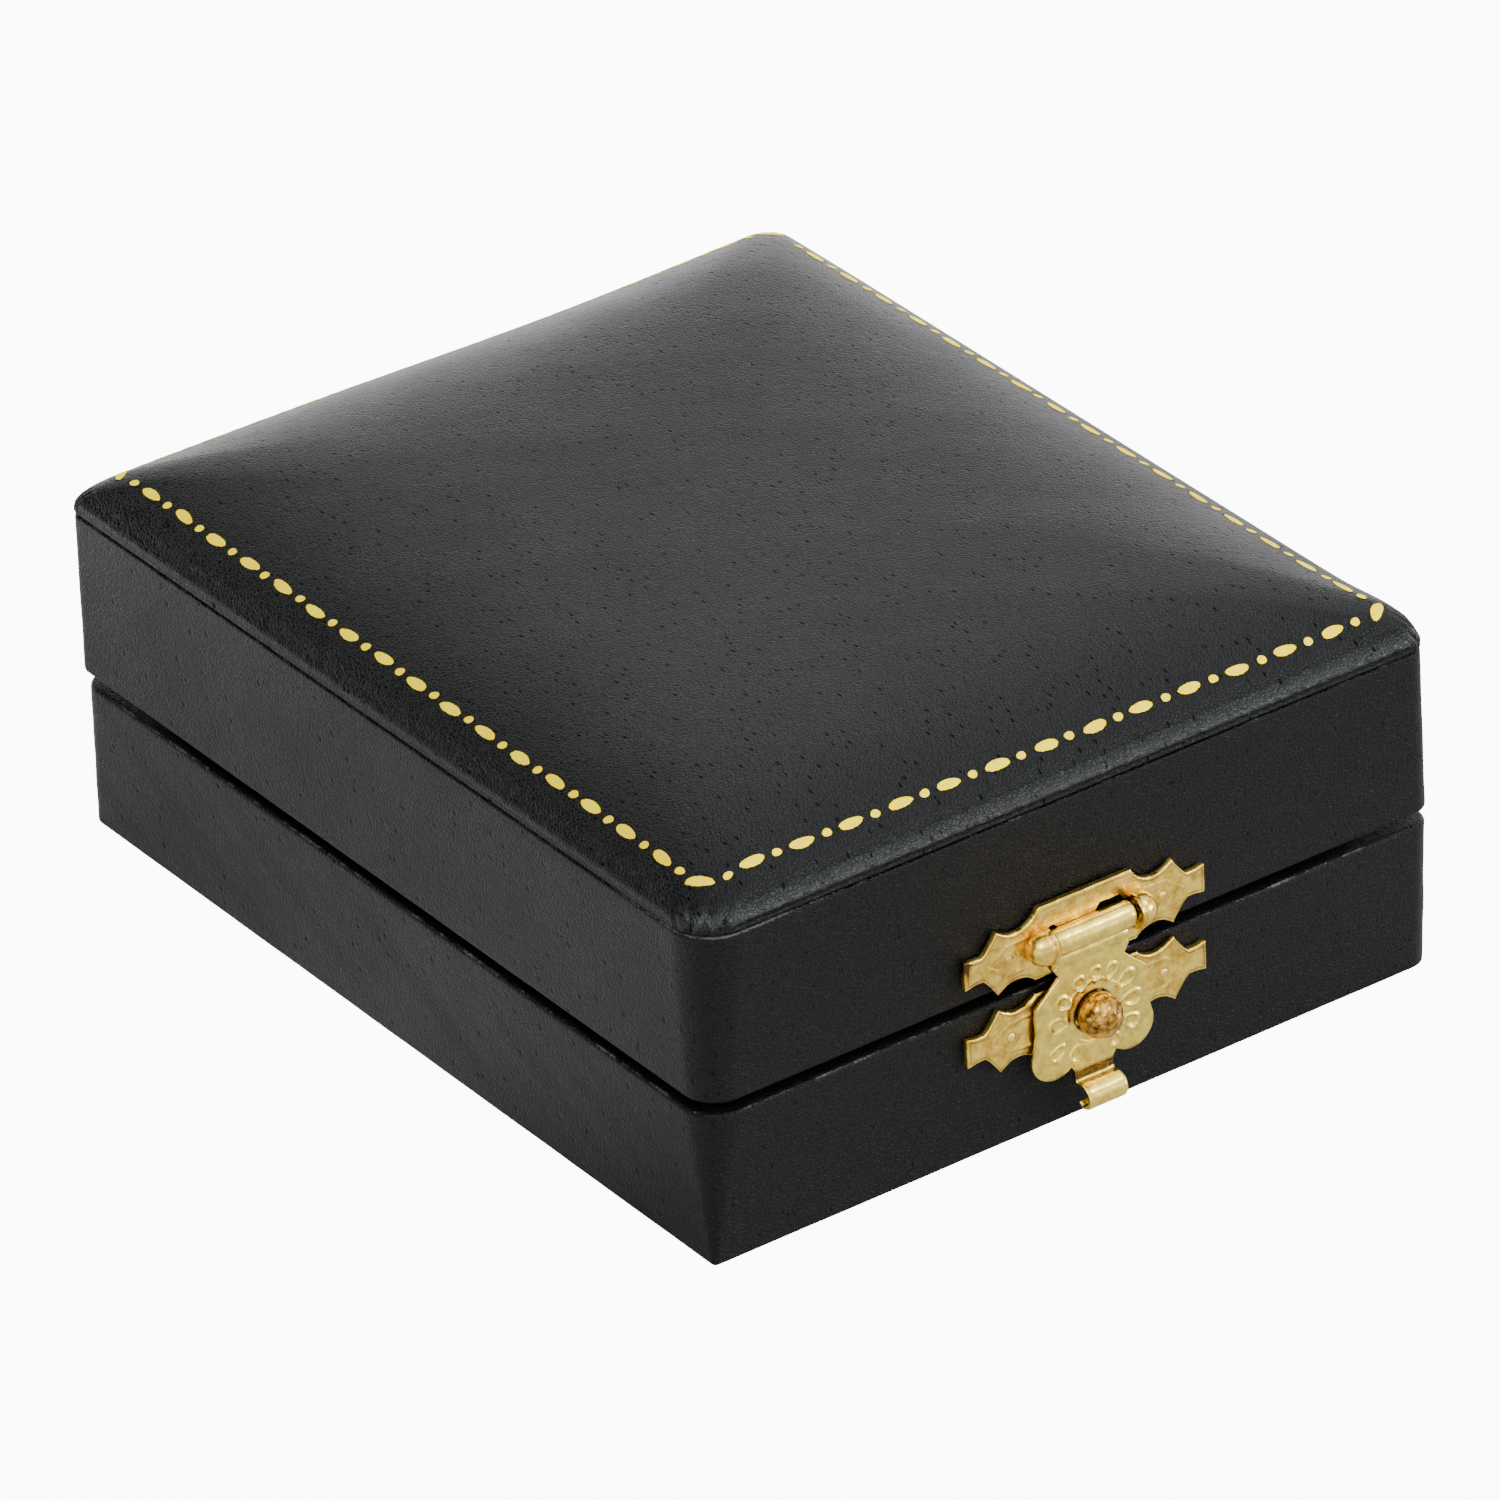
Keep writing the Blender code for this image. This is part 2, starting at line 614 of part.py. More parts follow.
def hasp_outline():
    """Flower plate below the barrel, as (x, z) about the clasp's centre line."""
    right = [
        (HASP_NECK_HALF, PIN_Z - 2.0 * MM),
        (HASP_NECK_HALF, PIN_Z - 2.6 * MM),
        (HASP_NOTCH_HALF, PIN_Z - 3.6 * MM),
        (HASP_BODY_HALF, KNOB_Z + 2.2 * MM),
        (HASP_BODY_HALF, KNOB_Z - 1.6 * MM),
    ]
    lobe_centre_x = HASP_LOBE_HALF - 2.3 * MM
    lobe_centre_z = KNOB_Z - 3.05 * MM
    for degrees in (0, -25, -50, -75, -100, -125):
        angle = math.radians(degrees)
        right.append((lobe_centre_x + 2.3 * MM * math.cos(angle),
                      lobe_centre_z + 2.3 * MM * math.sin(angle)))
    right += [(HASP_TAIL_HALF + 0.2 * MM, KNOB_Z - 4.7 * MM), (HASP_TAIL_HALF, KNOB_Z - 4.9 * MM)]
    right.append((HASP_TAIL_HALF, KNOB_Z - 5.6 * MM))
    whole = right + [(-x, z) for x, z in reversed(right)]
    return [(CLASP_X + x, z) for x, z in whole]


def bent_strip(path, half_width):
    """A strip of sheet that follows (stand, z) points in front of the box."""
    bm = bmesh.new()
    rings = []
    for index, (stand, z) in enumerate(path):
        before = path[max(index - 1, 0)]
        after = path[min(index + 1, len(path) - 1)]
        run = Vector((after[0] - before[0], after[1] - before[1])).normalized()
        side = Vector((run.y, -run.x)) * (HASP_SHEET / 2)
        corners = []
        for sign_x, sign_n in ((-1, 1), (1, 1), (1, -1), (-1, -1)):
            y = FRONT_Y - (stand + sign_n * side.x)
            corners.append(bm.verts.new((CLASP_X + sign_x * half_width, y, z + sign_n * side.y)))
        rings.append(corners)
    for first, second in zip(rings, rings[1:]):
        for index in range(4):
            after = (index + 1) % 4
            bm.faces.new((first[index], first[after], second[after], second[index]))
    bm.faces.new(rings[0])
    bm.faces.new(rings[-1])
    return bm


def roll_path():
    """Free end in front, up and over the pin, down behind it, then forward to the flower plate."""
    path = []
    roll_steps = 18
    for step in range(roll_steps + 1):
        angle = math.radians(mix(-ROLL_FREE_END, ROLL_LEAVES_AT, step / roll_steps))
        path.append((PIN_STAND + ROLL_RADIUS * math.cos(angle), PIN_Z + ROLL_RADIUS * math.sin(angle)))
    path.append((HASP_STAND - 0.35 * MM, PIN_Z - 1.4 * MM))
    path.append((HASP_STAND - 0.1 * MM, PIN_Z - 1.9 * MM))
    path.append((HASP_STAND, PIN_Z - 2.5 * MM))
    path.append((HASP_STAND, PIN_Z - 3.2 * MM))
    return path


def tab_path():
    """From the foot of the flower plate out to the finger tab and round its curl."""
    start = KNOB_Z - 5.2 * MM
    return [
        (HASP_STAND, start),
        (HASP_STAND + 0.02 * MM, start - 0.5 * MM),
        (HASP_STAND + 0.35 * MM, start - 0.9 * MM),
        (HASP_STAND + 0.95 * MM, start - 1.15 * MM),
        (HASP_STAND + 1.45 * MM, start - 1.5 * MM),
        (HASP_STAND + 1.65 * MM, start - 2.05 * MM),
        (HASP_STAND + 1.5 * MM, start - 2.6 * MM),
    ]


def make_hasp(lid_axis, brass):
    """Barrel rolled on the pin, flower plate with its eye, and the finger tab."""
    pin_line = Vector((CLASP_X, FRONT_Y - PIN_STAND, PIN_Z))
    hasp_axis = make_axis("hasp_axis", pin_line)
    hasp_axis.parent = lid_axis
    hasp_axis.location = pin_line - lid_axis.location
    near = FRONT_Y - HASP_STAND - HASP_SHEET / 2
    far = FRONT_Y - HASP_STAND + HASP_SHEET / 2
    hasp = make_object("hasp", stamped_sheet(hasp_outline(), near, far), brass, pin_line)
    hasp.parent = hasp_axis
    hasp.location = (0.0, 0.0, 0.0)
    roll = cutter("hasp_roll", bent_strip(roll_path(), HASP_NECK_HALF - 0.01 * MM))
    boolean(hasp, roll, "UNION")
    tab = cutter("hasp_tab", bent_strip(tab_path(), HASP_TAIL_HALF - 0.01 * MM))
    boolean(hasp, tab, "UNION")
    knob_base = Vector((CLASP_X, FRONT_Y, KNOB_Z))
    eye = rod(0.0, 3 * HASP_STAND, KNOB_HOLE_RADIUS, (0, -1, 0), knob_base, 24)
    boolean(hasp, cutter("hasp_eye", eye), "DIFFERENCE")


# ---------------------------------------------------------------- rear hinges

def hinge_line(side):
    """The middle of one rear hinge, on the lid's axis."""
    return Vector((side * HINGE_X, HINGE_Y, HINGE_Z))


def hinge_nail_spots(side, sign_z):
    """Where a leaf's two nails pass through the outer face of the leaf's wall side."""
    line = hinge_line(side)
    seat = HINGE_BARREL_RADIUS
    return [line + Vector((offset, -HINGE_NAIL_REACH, sign_z * seat))
            for offset in (-HINGE_NAIL_X, HINGE_NAIL_X)]


def hinge_recess(side):
    """Cutter for the barrel's groove and the leaves' pockets in both skins."""
    line = hinge_line(side)
    half = HINGE_HALF_LENGTH + GAP
    depth = RIM_GAP / 2 + SKIN + GAP / 2
    low = line + Vector((-half, -HINGE_LEAF_REACH - 2 * GAP, -depth))
    high = line + Vector((half, 0.0, depth))
    pocket = cutter(f"hinge_pocket_{side}", box(low, high))
    groove_bar = rod(-half, half, HINGE_BARREL_RADIUS + GAP, (1, 0, 0), line, 24)
    groove = cutter(f"hinge_groove_{side}", groove_bar)
    return [pocket, groove]


def make_leaf(name, side, sign_z, knuckles, brass, parent=None):
    """One leaf: a flat plate with two nail holes and the knuckles given as (start, end)."""
    line = hinge_line(side)
    near = sign_z * HINGE_BARREL_RADIUS
    far = sign_z * (HINGE_BARREL_RADIUS - SHEET)
    low_z, high_z = sorted((near, far))
    plate_low = line + Vector((-HINGE_HALF_LENGTH, -HINGE_LEAF_REACH, low_z))
    plate_high = line + Vector((HINGE_HALF_LENGTH, -HINGE_BARREL_RADIUS - GAP, high_z))
    leaf = make_object(name, box(plate_low, plate_high), brass, line, parent)
    for number, (start, end) in enumerate(knuckles):
        arm_low = line + Vector((start, -HINGE_BARREL_RADIUS - 2 * GAP, low_z))
        arm_high = line + Vector((end, 0.0, high_z))
        boolean(leaf, cutter(f"{name}_arm_{number}", box(arm_low, arm_high)), "UNION")
        barrel = rod(start, end, HINGE_BARREL_RADIUS, (1, 0, 0), line, 20)
        boolean(leaf, cutter(f"{name}_knuckle_{number}", barrel), "UNION")
    bore = rod(-2 * HINGE_HALF_LENGTH, 2 * HINGE_HALF_LENGTH, HINGE_PIN_RADIUS + GAP, (1, 0, 0), line, 12)
    boolean(leaf, cutter(f"{name}_bore", bore), "DIFFERENCE")
    return leaf


def make_hinges(lid_axis, brass, nail_finish, base_holes, lid_holes):
    """Both rear hinges: base leaf, lid leaf, pin and four nails each."""
    middle = [(-HINGE_MID_HALF, HINGE_MID_HALF)]
    outer_start = HINGE_MID_HALF + GAP
    outer = [(-HINGE_HALF_LENGTH, -outer_start), (outer_start, HINGE_HALF_LENGTH)]
    for side, word in ((-1, "left"), (1, "right")):
        base_leaf = make_leaf(f"hinge_base_leaf_{word}", side, -1, middle, brass)
        boolean(base_leaf, base_holes, "DIFFERENCE")
        lid_leaf = make_leaf(f"hinge_lid_leaf_{word}", side, 1, outer, brass, lid_axis)
        boolean(lid_leaf, lid_holes, "DIFFERENCE")
        line = hinge_line(side)
        pin = rod(-HINGE_HALF_LENGTH, HINGE_HALF_LENGTH, HINGE_PIN_RADIUS, (1, 0, 0), line, 12)
        make_object(f"hinge_pin_{word}", pin, brass, line)
        for place, spot in zip(("outer", "inner"), hinge_nail_spots(side, -1)):
            make_nail(f"hinge_base_nail_{word}_{place}", spot, (0, 0, 1), SHEET - GAP / 2, nail_finish)
        for place, spot in zip(("outer", "inner"), hinge_nail_spots(side, 1)):
            name = f"hinge_lid_nail_{word}_{place}"
            make_nail(name, spot, (0, 0, -1), SHEET - GAP / 2, nail_finish, lid_axis)


# ---------------------------------------------------------------- assembly

def build():
    """Make every piece of the box."""
    clear_scene()
    leather = material("black_leatherette", (0.018, 0.018, 0.020), 0.45)
    card = material("brown_card", (0.16, 0.09, 0.05), 0.85)
    foam = material("grey_foam", (0.45, 0.45, 0.44), 0.9)
    velvet = material("black_velvet", (0.02, 0.02, 0.022), 0.95)
    satin = material("ivory_satin", (0.80, 0.76, 0.68), 0.4)
    paper = material("black_paper", (0.03, 0.03, 0.03), 0.9)
    brass = material("pale_brass", (0.83, 0.66, 0.36), 0.3, 1.0)
    nail_finish = material("brass_nail", (0.78, 0.60, 0.32), 0.35, 1.0)

    lid_axis = make_axis("lid_axis", Vector((0.0, HINGE_Y, HINGE_Z)))
    both = (-1, 1)
    strike_holes = nail_holes(front_nail_spots(STRIKE_Z), (0, -1, 0), "strike_holes")
    clasp_holes = nail_holes(front_nail_spots(CLASP_Z), (0, -1, 0), "clasp_holes")
    base_spots = [spot for side in both for spot in hinge_nail_spots(side, -1)]
    lid_spots = [spot for side in both for spot in hinge_nail_spots(side, 1)]
    base_holes = nail_holes(base_spots, (0, 0, 1), "hinge_base_holes")
    lid_holes = nail_holes(lid_spots, (0, 0, -1), "hinge_lid_holes")
    recesses = [tool for side in both for tool in hinge_recess(side)]

    make_base_tray(card, [strike_holes, base_holes])
    make_base_cover(leather, [strike_holes, *recesses])
    make_base_inside(card, foam, velvet, paper)
    make_lid(lid_axis, leather, card, foam, satin, [clasp_holes, lid_holes], [clasp_holes, *recesses])
    make_strike(brass, nail_finish, strike_holes)
    make_clasp_plate(lid_axis, brass, nail_finish, clasp_holes)
    make_hasp(lid_axis, brass)
    make_hinges(lid_axis, brass, nail_finish, base_holes, lid_holes)


build()
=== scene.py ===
"""Looks of the small hinged jewelry box: grained leather skins, gold foil border, stamped brass clasp.

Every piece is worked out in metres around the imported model. Lengths below are in millimetres
times MM. The clasp is on the -Y side, the hinges on the +Y side, +Z is up.
"""
import json
import math

import bmesh
import bpy
import numpy as np
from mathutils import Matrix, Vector


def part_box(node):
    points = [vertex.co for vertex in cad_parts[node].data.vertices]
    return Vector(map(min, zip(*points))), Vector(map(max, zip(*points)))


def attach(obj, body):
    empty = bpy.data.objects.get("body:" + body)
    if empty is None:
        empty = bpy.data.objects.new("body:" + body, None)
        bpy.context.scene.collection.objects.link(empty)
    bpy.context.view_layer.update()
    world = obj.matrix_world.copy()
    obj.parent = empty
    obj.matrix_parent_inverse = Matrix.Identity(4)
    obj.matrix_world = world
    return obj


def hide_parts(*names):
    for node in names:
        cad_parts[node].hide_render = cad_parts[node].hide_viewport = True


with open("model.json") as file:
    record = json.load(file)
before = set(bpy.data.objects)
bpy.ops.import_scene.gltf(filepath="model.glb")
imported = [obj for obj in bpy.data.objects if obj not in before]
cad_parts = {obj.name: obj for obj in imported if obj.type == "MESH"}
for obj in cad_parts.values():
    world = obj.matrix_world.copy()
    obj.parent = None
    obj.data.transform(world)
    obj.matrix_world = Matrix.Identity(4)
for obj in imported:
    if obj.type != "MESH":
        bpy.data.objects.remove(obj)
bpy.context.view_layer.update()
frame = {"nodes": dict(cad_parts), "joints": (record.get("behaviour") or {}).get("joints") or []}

MM = 0.001
rng = np.random.default_rng(7)

# Where the model says the main pieces are
BASE_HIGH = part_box("base_cover")[1]
SIDE_LOW, SIDE_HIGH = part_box("lid_side_cover")
TOP_LOW, TOP_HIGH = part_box("lid_top_cover")
LIP_LOW, LIP_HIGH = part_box("base_lip")
PAD_LOW, PAD_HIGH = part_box("insert_pad")
LINING_LOW, LINING_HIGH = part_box("lid_lining_pad")
PLATE_LOW, PLATE_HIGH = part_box("clasp_plate")
STRIKE_LOW, STRIKE_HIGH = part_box("strike_plate")
KNOB_LOW, KNOB_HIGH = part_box("strike_knob")
JOINTS = {joint["name"]: Vector(joint["pos_m"]) for joint in frame["joints"]}
HINGE_LINE = JOINTS["lid_hinge"]
PIN_LINE = JOINTS["hasp_hinge"]
HALF_X = BASE_HIGH.x
HALF_Y = BASE_HIGH.y
FRONT_Y = -HALF_Y
CLASP_X = PIN_LINE.x

# Leather skins
SKIN = 0.7 * MM
RIM_ROUND = 0.45 * MM
BASE_LEAN = 0.2 * MM
LID_LEAN = 0.2 * MM
FLANGE = 4.0 * MM
FOOT_ROUND = 0.15 * MM
FOOT_RADII = np.array([2.2, 1.6, 0.45, 2.2]) * MM
BASE_RIM_RADII = np.array([2.8, 2.8, 3.4, 2.1]) * MM
LID_RIM_RADII = np.array([2.4, 1.7, 3.2, 1.9]) * MM
SEAM_RADII = np.array([2.2, 1.3, 4.2, 1.9]) * MM
LEAST_RADIUS = 0.3 * MM

# Padded top: a quarter ellipse at the edge, then a rise that fades towards the crown
EDGE_RISE = 3.5 * MM
EDGE_RUN = 3.2 * MM
EDGE_ANGLE = math.radians(42.0)
CROWN_RISE = TOP_HIGH.z - TOP_LOW.z - EDGE_RISE
RUN_AXIS = EDGE_RUN / (1 - math.cos(EDGE_ANGLE))
RISE_AXIS = EDGE_RISE / math.sin(EDGE_ANGLE)
EDGE_SLOPE = RISE_AXIS / RUN_AXIS / math.tan(EDGE_ANGLE)
CROWN_FADE = 1.03 * CROWN_RISE / EDGE_SLOPE
CORNER_GROWTH = 0.3
UNEVEN_RUN = 0.8 * MM
GATHER = 7.0 * MM

# Gold foil border. Each row: direction, place across, middle, pitch and number of ovals
BORDER_TURN = -0.0099
SIDE_OVAL = np.array([1.24, 0.43]) * MM
FRONT_OVAL = np.array([1.18, 0.45]) * MM
CORNER_OVAL = np.array([1.27, 0.47]) * MM
DOT = np.array([0.47, 0.35]) * MM
BORDER_ROWS = (
    (90, -34.68 * MM, 0.12 * MM, 5.08 * MM, 16, SIDE_OVAL),
    (90, 34.62 * MM, -1.13 * MM, 5.068 * MM, 16, SIDE_OVAL),
    (0, -43.54 * MM, 0.18 * MM, 4.965 * MM, 13, FRONT_OVAL),
    (0, 43.7 * MM, 0.0, 4.944 * MM, 13, FRONT_OVAL),
)
BORDER_CORNERS = np.array([[34.3, 43.4], [-34.3, 43.5], [-34.17, -42.64], [35.0, -43.1]]) * MM

# Clasp
SHEET = 0.45 * MM
SHEET_BACK = 0.3 * MM
HASP_SHEET = 0.4 * MM
HASP_STAND = 1.25 * MM
ROLL_RADIUS = 1.0 * MM
PIN_STAND = FRONT_Y - PIN_LINE.y
PLATE_HALF = (PLATE_HIGH.x - PLATE_LOW.x) / 2
STRIKE_Z = (STRIKE_LOW.z + STRIKE_HIGH.z) / 2
CLASP_Z = PLATE_LOW.z + (STRIKE_Z - STRIKE_LOW.z)
KNOB_Z = (KNOB_LOW.z + KNOB_HIGH.z) / 2
KNOB_RADIUS = (KNOB_HIGH.z - KNOB_LOW.z) / 2
EYE_RADIUS = 0.975 * KNOB_RADIUS
NECK_HALF = 3.95 * MM
NAIL_X = 8.0 * MM
WING_CENTRE_HALF = 3.1 * MM
UPPER_CENTRE_HALF = 3.75 * MM

# Rear hinges
HINGE_XS = tuple(sum(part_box(f"hinge_pin_{side}"), Vector()).x / 2 for side in ("left", "right"))
HINGE_HALF = 6.3 * MM
HINGE_GROOVE = 1.42 * MM
HINGE_REACH = 3.95 * MM


# ---------------------------------------------------------------- numbers and meshes

def mix(low, high, share):
    """The value a given share of the way from low to high."""
    return low + (high - low) * share


def smooth(value, start, end):
    """0 before start, 1 after end, with a smooth turn 3t^2 - 2t^3 between them."""
    share = np.clip((value - start) / (end - start), 0, 1)
    return share * share * (3 - 2 * share)


def hump(value, width):
    """A bell, exp(-(value / width)^2)."""
    return np.exp(-(value / width) ** 2)


def ripple(along, waves, seed):
    """A fixed irregular wave from -1 to 1: sines of the given wavelengths with seeded phases."""
    phases = np.random.default_rng(seed).uniform(0, 2 * math.pi, len(waves))
    total = sum(np.sin(2 * math.pi * along / wave + phase) for wave, phase in zip(waves, phases))
    return total / len(waves)


def grid_quads(rows, columns, wrap_rows=False, wrap_columns=False):
    """Corner numbers of the quads of a rows x columns grid, joined round where it wraps."""
    row = np.arange(rows if wrap_rows else rows - 1)[:, None]
    column = np.arange(columns if wrap_columns else columns - 1)[None, :]
    next_row = (row + 1) % rows
    next_column = (column + 1) % columns
    corners = [row * columns + column, row * columns + next_column,
               next_row * columns + next_column, next_row * columns + column]
    return np.stack([np.broadcast_to(c, (row.size, column.size)) for c in corners], -1).reshape(-1, 4)


def join_parts(parts):
    """Several (points, quads, marks) as one, with the corner numbers moved up."""
    starts = np.cumsum([0] + [len(part[0]) for part in parts[:-1]])
    points = np.concatenate([part[0] for part in parts])
    quads = np.concatenate([part[1] + start for part, start in zip(parts, starts)])
    marks = np.concatenate([part[2] for part in parts])
    return points, quads, marks


def make_piece(name, part, finish, body, stands_for=(), sharp=40.0):
    """A mesh object from (points, quads, mark): doubles merged, faces out, smooth but for sharp edges.

    The mark is one number a point, kept as the attribute "mark" for the material to read.
    """
    points, quads, marks = part
    mesh = bpy.data.meshes.new(name)
    mesh.vertices.add(len(points))
    mesh.vertices.foreach_set("co", points.astype(np.float32).ravel())
    mesh.loops.add(quads.size)
    mesh.loops.foreach_set("vertex_index", quads.astype(np.int32).ravel())
    mesh.polygons.add(len(quads))
    mesh.polygons.foreach_set("loop_start", np.arange(0, quads.size, 4, dtype=np.int32))
    mesh.attributes.new("mark", "FLOAT", "POINT").data.foreach_set("value", marks.astype(np.float32))
    mesh.update(calc_edges=True)
    work = bmesh.new()
    work.from_mesh(mesh)
    bmesh.ops.remove_doubles(work, verts=work.verts, dist=2e-7)
    bmesh.ops.dissolve_degenerate(work, edges=work.edges, dist=1e-7)
    bmesh.ops.recalc_face_normals(work, faces=work.faces)
    work.to_mesh(mesh)
    work.free()
    mesh.shade_smooth()
    mesh.set_sharp_from_angle(angle=math.radians(sharp))
    mesh.materials.append(finish)
    piece = bpy.data.objects.new(name, mesh)
    bpy.context.scene.collection.objects.link(piece)
    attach(piece, body)
    if stands_for:
        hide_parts(*stands_for)
    return piece


def sheet_body(front, back, marks, keep=None, wrap=False):
    """A closed sheet between two grids of points: both faces, and a rim round every open edge.

    keep says which quads are there, so a hole is a patch of quads left out.
    """
    rows, columns = front.shape[:2]
    count = rows * columns
    quads = grid_quads(rows, columns, wrap_columns=wrap)
    if keep is None:
        keep = np.ones(len(quads), bool)
    keep = keep.reshape(-1)
    kept = quads[keep]
    edges = np.concatenate([kept[:, [0, 1]], kept[:, [1, 2]], kept[:, [2, 3]], kept[:, [3, 0]]])
    key = np.sort(edges, 1) @ np.array([count, 1])
    _, first, uses = np.unique(key, return_index=True, return_counts=True)
    rim = edges[first[uses == 1]]
    sides = np.stack([rim[:, 1], rim[:, 0], rim[:, 0] + count, rim[:, 1] + count], 1)
    points = np.concatenate([front.reshape(-1, 3), back.reshape(-1, 3)])
    both = np.concatenate([marks.reshape(-1), marks.reshape(-1)])
    return points, np.concatenate([kept, kept[:, ::-1] + count, sides]), both


def turned(profile, start, axis, around=32, marks=None):
    """A turned body: (distance along axis, radius) points carried round the axis from start."""
    axis = np.array(axis, float)
    side = np.cross(axis, (0.3, 0.2, 0.9))
    side /= np.linalg.norm(side)
    up = np.cross(axis, side)
    angle = np.linspace(0, 2 * math.pi, around, endpoint=False)[None, :, None]
    along, radius = np.array(profile, float).T[:, :, None, None]
    points = np.array(start) + along * axis + radius * (np.cos(angle) * side + np.sin(angle) * up)
    if marks is None:
        marks = np.zeros(len(profile))
    marks = np.repeat(np.array(marks, float), around)
    return points.reshape(-1, 3), grid_quads(len(profile), around, wrap_columns=True), marks


# ---------------------------------------------------------------- outlines of the box

SIGNS = np.array([[1, 1], [-1, 1], [-1, -1], [1, -1]])


def outline_columns(corner, short, long):
    """Columns round a rectangle with round corners: which corners each lies between, how far
    along the straight side, and the angle that its outward side faces."""
    rows = []
    for number, steps in enumerate((short, long, short, long)):
        for angle in 90 * number + 90 * np.arange(corner + 1) / corner:
            rows.append((number, number, 0.0, angle))
        for share in np.arange(1, steps) / steps:
            rows.append((number, (number + 1) % 4, share, 90.0 * (number + 1)))
    first, second, share, angle = np.array(rows).T
    return first.astype(int), second.astype(int), share, np.radians(angle)


def outlines(columns, half_x, half_y, radii):
    """Points (level, column, xy): corner centre plus radius at the column's angle, and on the
    sides the straight mix of the two corners' ends."""
    first, second, share, angle = columns
    facing = np.stack([np.cos(angle), np.sin(angle)], -1)
    half = np.stack([half_x, half_y], -1)[:, None, :]
    ends = []
    for corner in (first, second):
        radius = radii[:, corner][..., None]
        ends.append(SIGNS[corner] * (half - radius) + radius * facing)
    return mix(ends[0], ends[1], share[:, None])


def arc(centre_inset, centre_z, radius, start, end, steps=5):
    """(inset, z) points of a round edge; 0 degrees faces outwards, 90 degrees up."""
    angle = np.radians(np.linspace(start, end, steps))
    return np.stack([centre_inset - radius * np.cos(angle), centre_z + radius * np.sin(angle)], -1)


def line(start, end, steps):
    """(inset, z) points on a straight stretch, without its last point."""
    share = np.linspace(0, 1, steps, endpoint=False)[:, None]
    return mix(np.array(start), np.array(end), share)


def wall_points(profile, columns, low_z, high_z, low_lean, high_lean, low_radii, high_radii):
    """Carry a closed (inset, z) profile round the box; walls lean and corners open with height."""
    inset, z = profile.T
    share = np.clip((z - low_z) / (high_z - low_z), 0, 1)
    lean = mix(low_lean, high_lean, share)
    radii = mix(low_radii, high_radii, share[:, None]) - inset[:, None]
    radii = np.maximum(radii, LEAST_RADIUS)
    flat = outlines(columns, HALF_X - lean - inset, HALF_Y - lean - inset, radii)
    height = np.broadcast_to(z[:, None, None], (*flat.shape[:2], 1))
    return np.concatenate([flat, height], -1)


def outward(columns):
    """The way out of the box at each column, as (column, xyz)."""
    angle = columns[3]
    return np.stack([np.cos(angle), np.sin(angle), np.zeros_like(angle)], -1)


def run_round(points):
    """Distance round the box at each column of one level."""
    steps = np.linalg.norm(np.diff(points, axis=0), axis=1)
    return np.concatenate([[0.0], np.cumsum(steps)])


def hinge_dents(points, sign_z):
    """Press the rim clear of the rear hinges: points near a barrel move out to its groove's
    radius, and the flange under a leaf moves away from the gap."""
    y = points[..., 1] - HINGE_LINE.y
    z = points[..., 2] - HINGE_LINE.z
    for hinge_x in HINGE_XS:
        across = 1 - smooth(np.abs(points[..., 0] - hinge_x), HINGE_HALF, HINGE_HALF + 0.5 * MM)
        behind = smooth(-y, 0.0, 0.3 * MM) * (1 - smooth(-y, HINGE_REACH, HINGE_REACH + 0.4 * MM))
        shallow = np.abs(z) < 0.9 * MM
        z = z + np.where(shallow, sign_z * 0.74 * MM * across * behind, 0)
        distance = np.maximum(np.hypot(y, z), 1e-6)
        grow = np.maximum(HINGE_GROOVE - distance, 0) * across / distance
        y = y + y * grow
        z = z + z * grow
    moved = points.copy()
    moved[..., 1] = y + HINGE_LINE.y
    moved[..., 2] = z + HINGE_LINE.z
    return moved


# ---------------------------------------------------------------- materials

def node_maker(tree):
    """Two functions for a node tree emptied first: one adds a node, one links two sockets."""
    tree.nodes.clear()

    def node(kind, **settings):
        """Add a node; settings name its attributes, or its inputs by name with _ for a space."""
        added = tree.nodes.new(kind)
        for key, value in settings.items():
            if hasattr(added, key):
                setattr(added, key, value)
            else:
                added.inputs[key.replace("_", " ")].default_value = value
        return added

    def link(source, target):
        """Carry the source socket's value to the target socket."""
        tree.links.new(source, target)

    return node, link


def new_material(name):
    """An empty node material, with its functions to add and to link nodes."""
    made = bpy.data.materials.new(name)
    made.use_nodes = True
    return made, *node_maker(made.node_tree)


def ramp(node, stops, interpolation="LINEAR"):
    """A colour ramp through (place, colour) stops; a single number is a grey."""
    made = node("ShaderNodeValToRGB")
    made.color_ramp.interpolation = interpolation
    elements = made.color_ramp.elements
    while len(elements) < len(stops):
        elements.new(0.5)
    for element, (place, colour) in zip(elements, stops):
        element.position = place
        rgb = (colour,) * 3 if isinstance(colour, (int, float)) else colour
        element.color = (*rgb, 1.0)
    return made


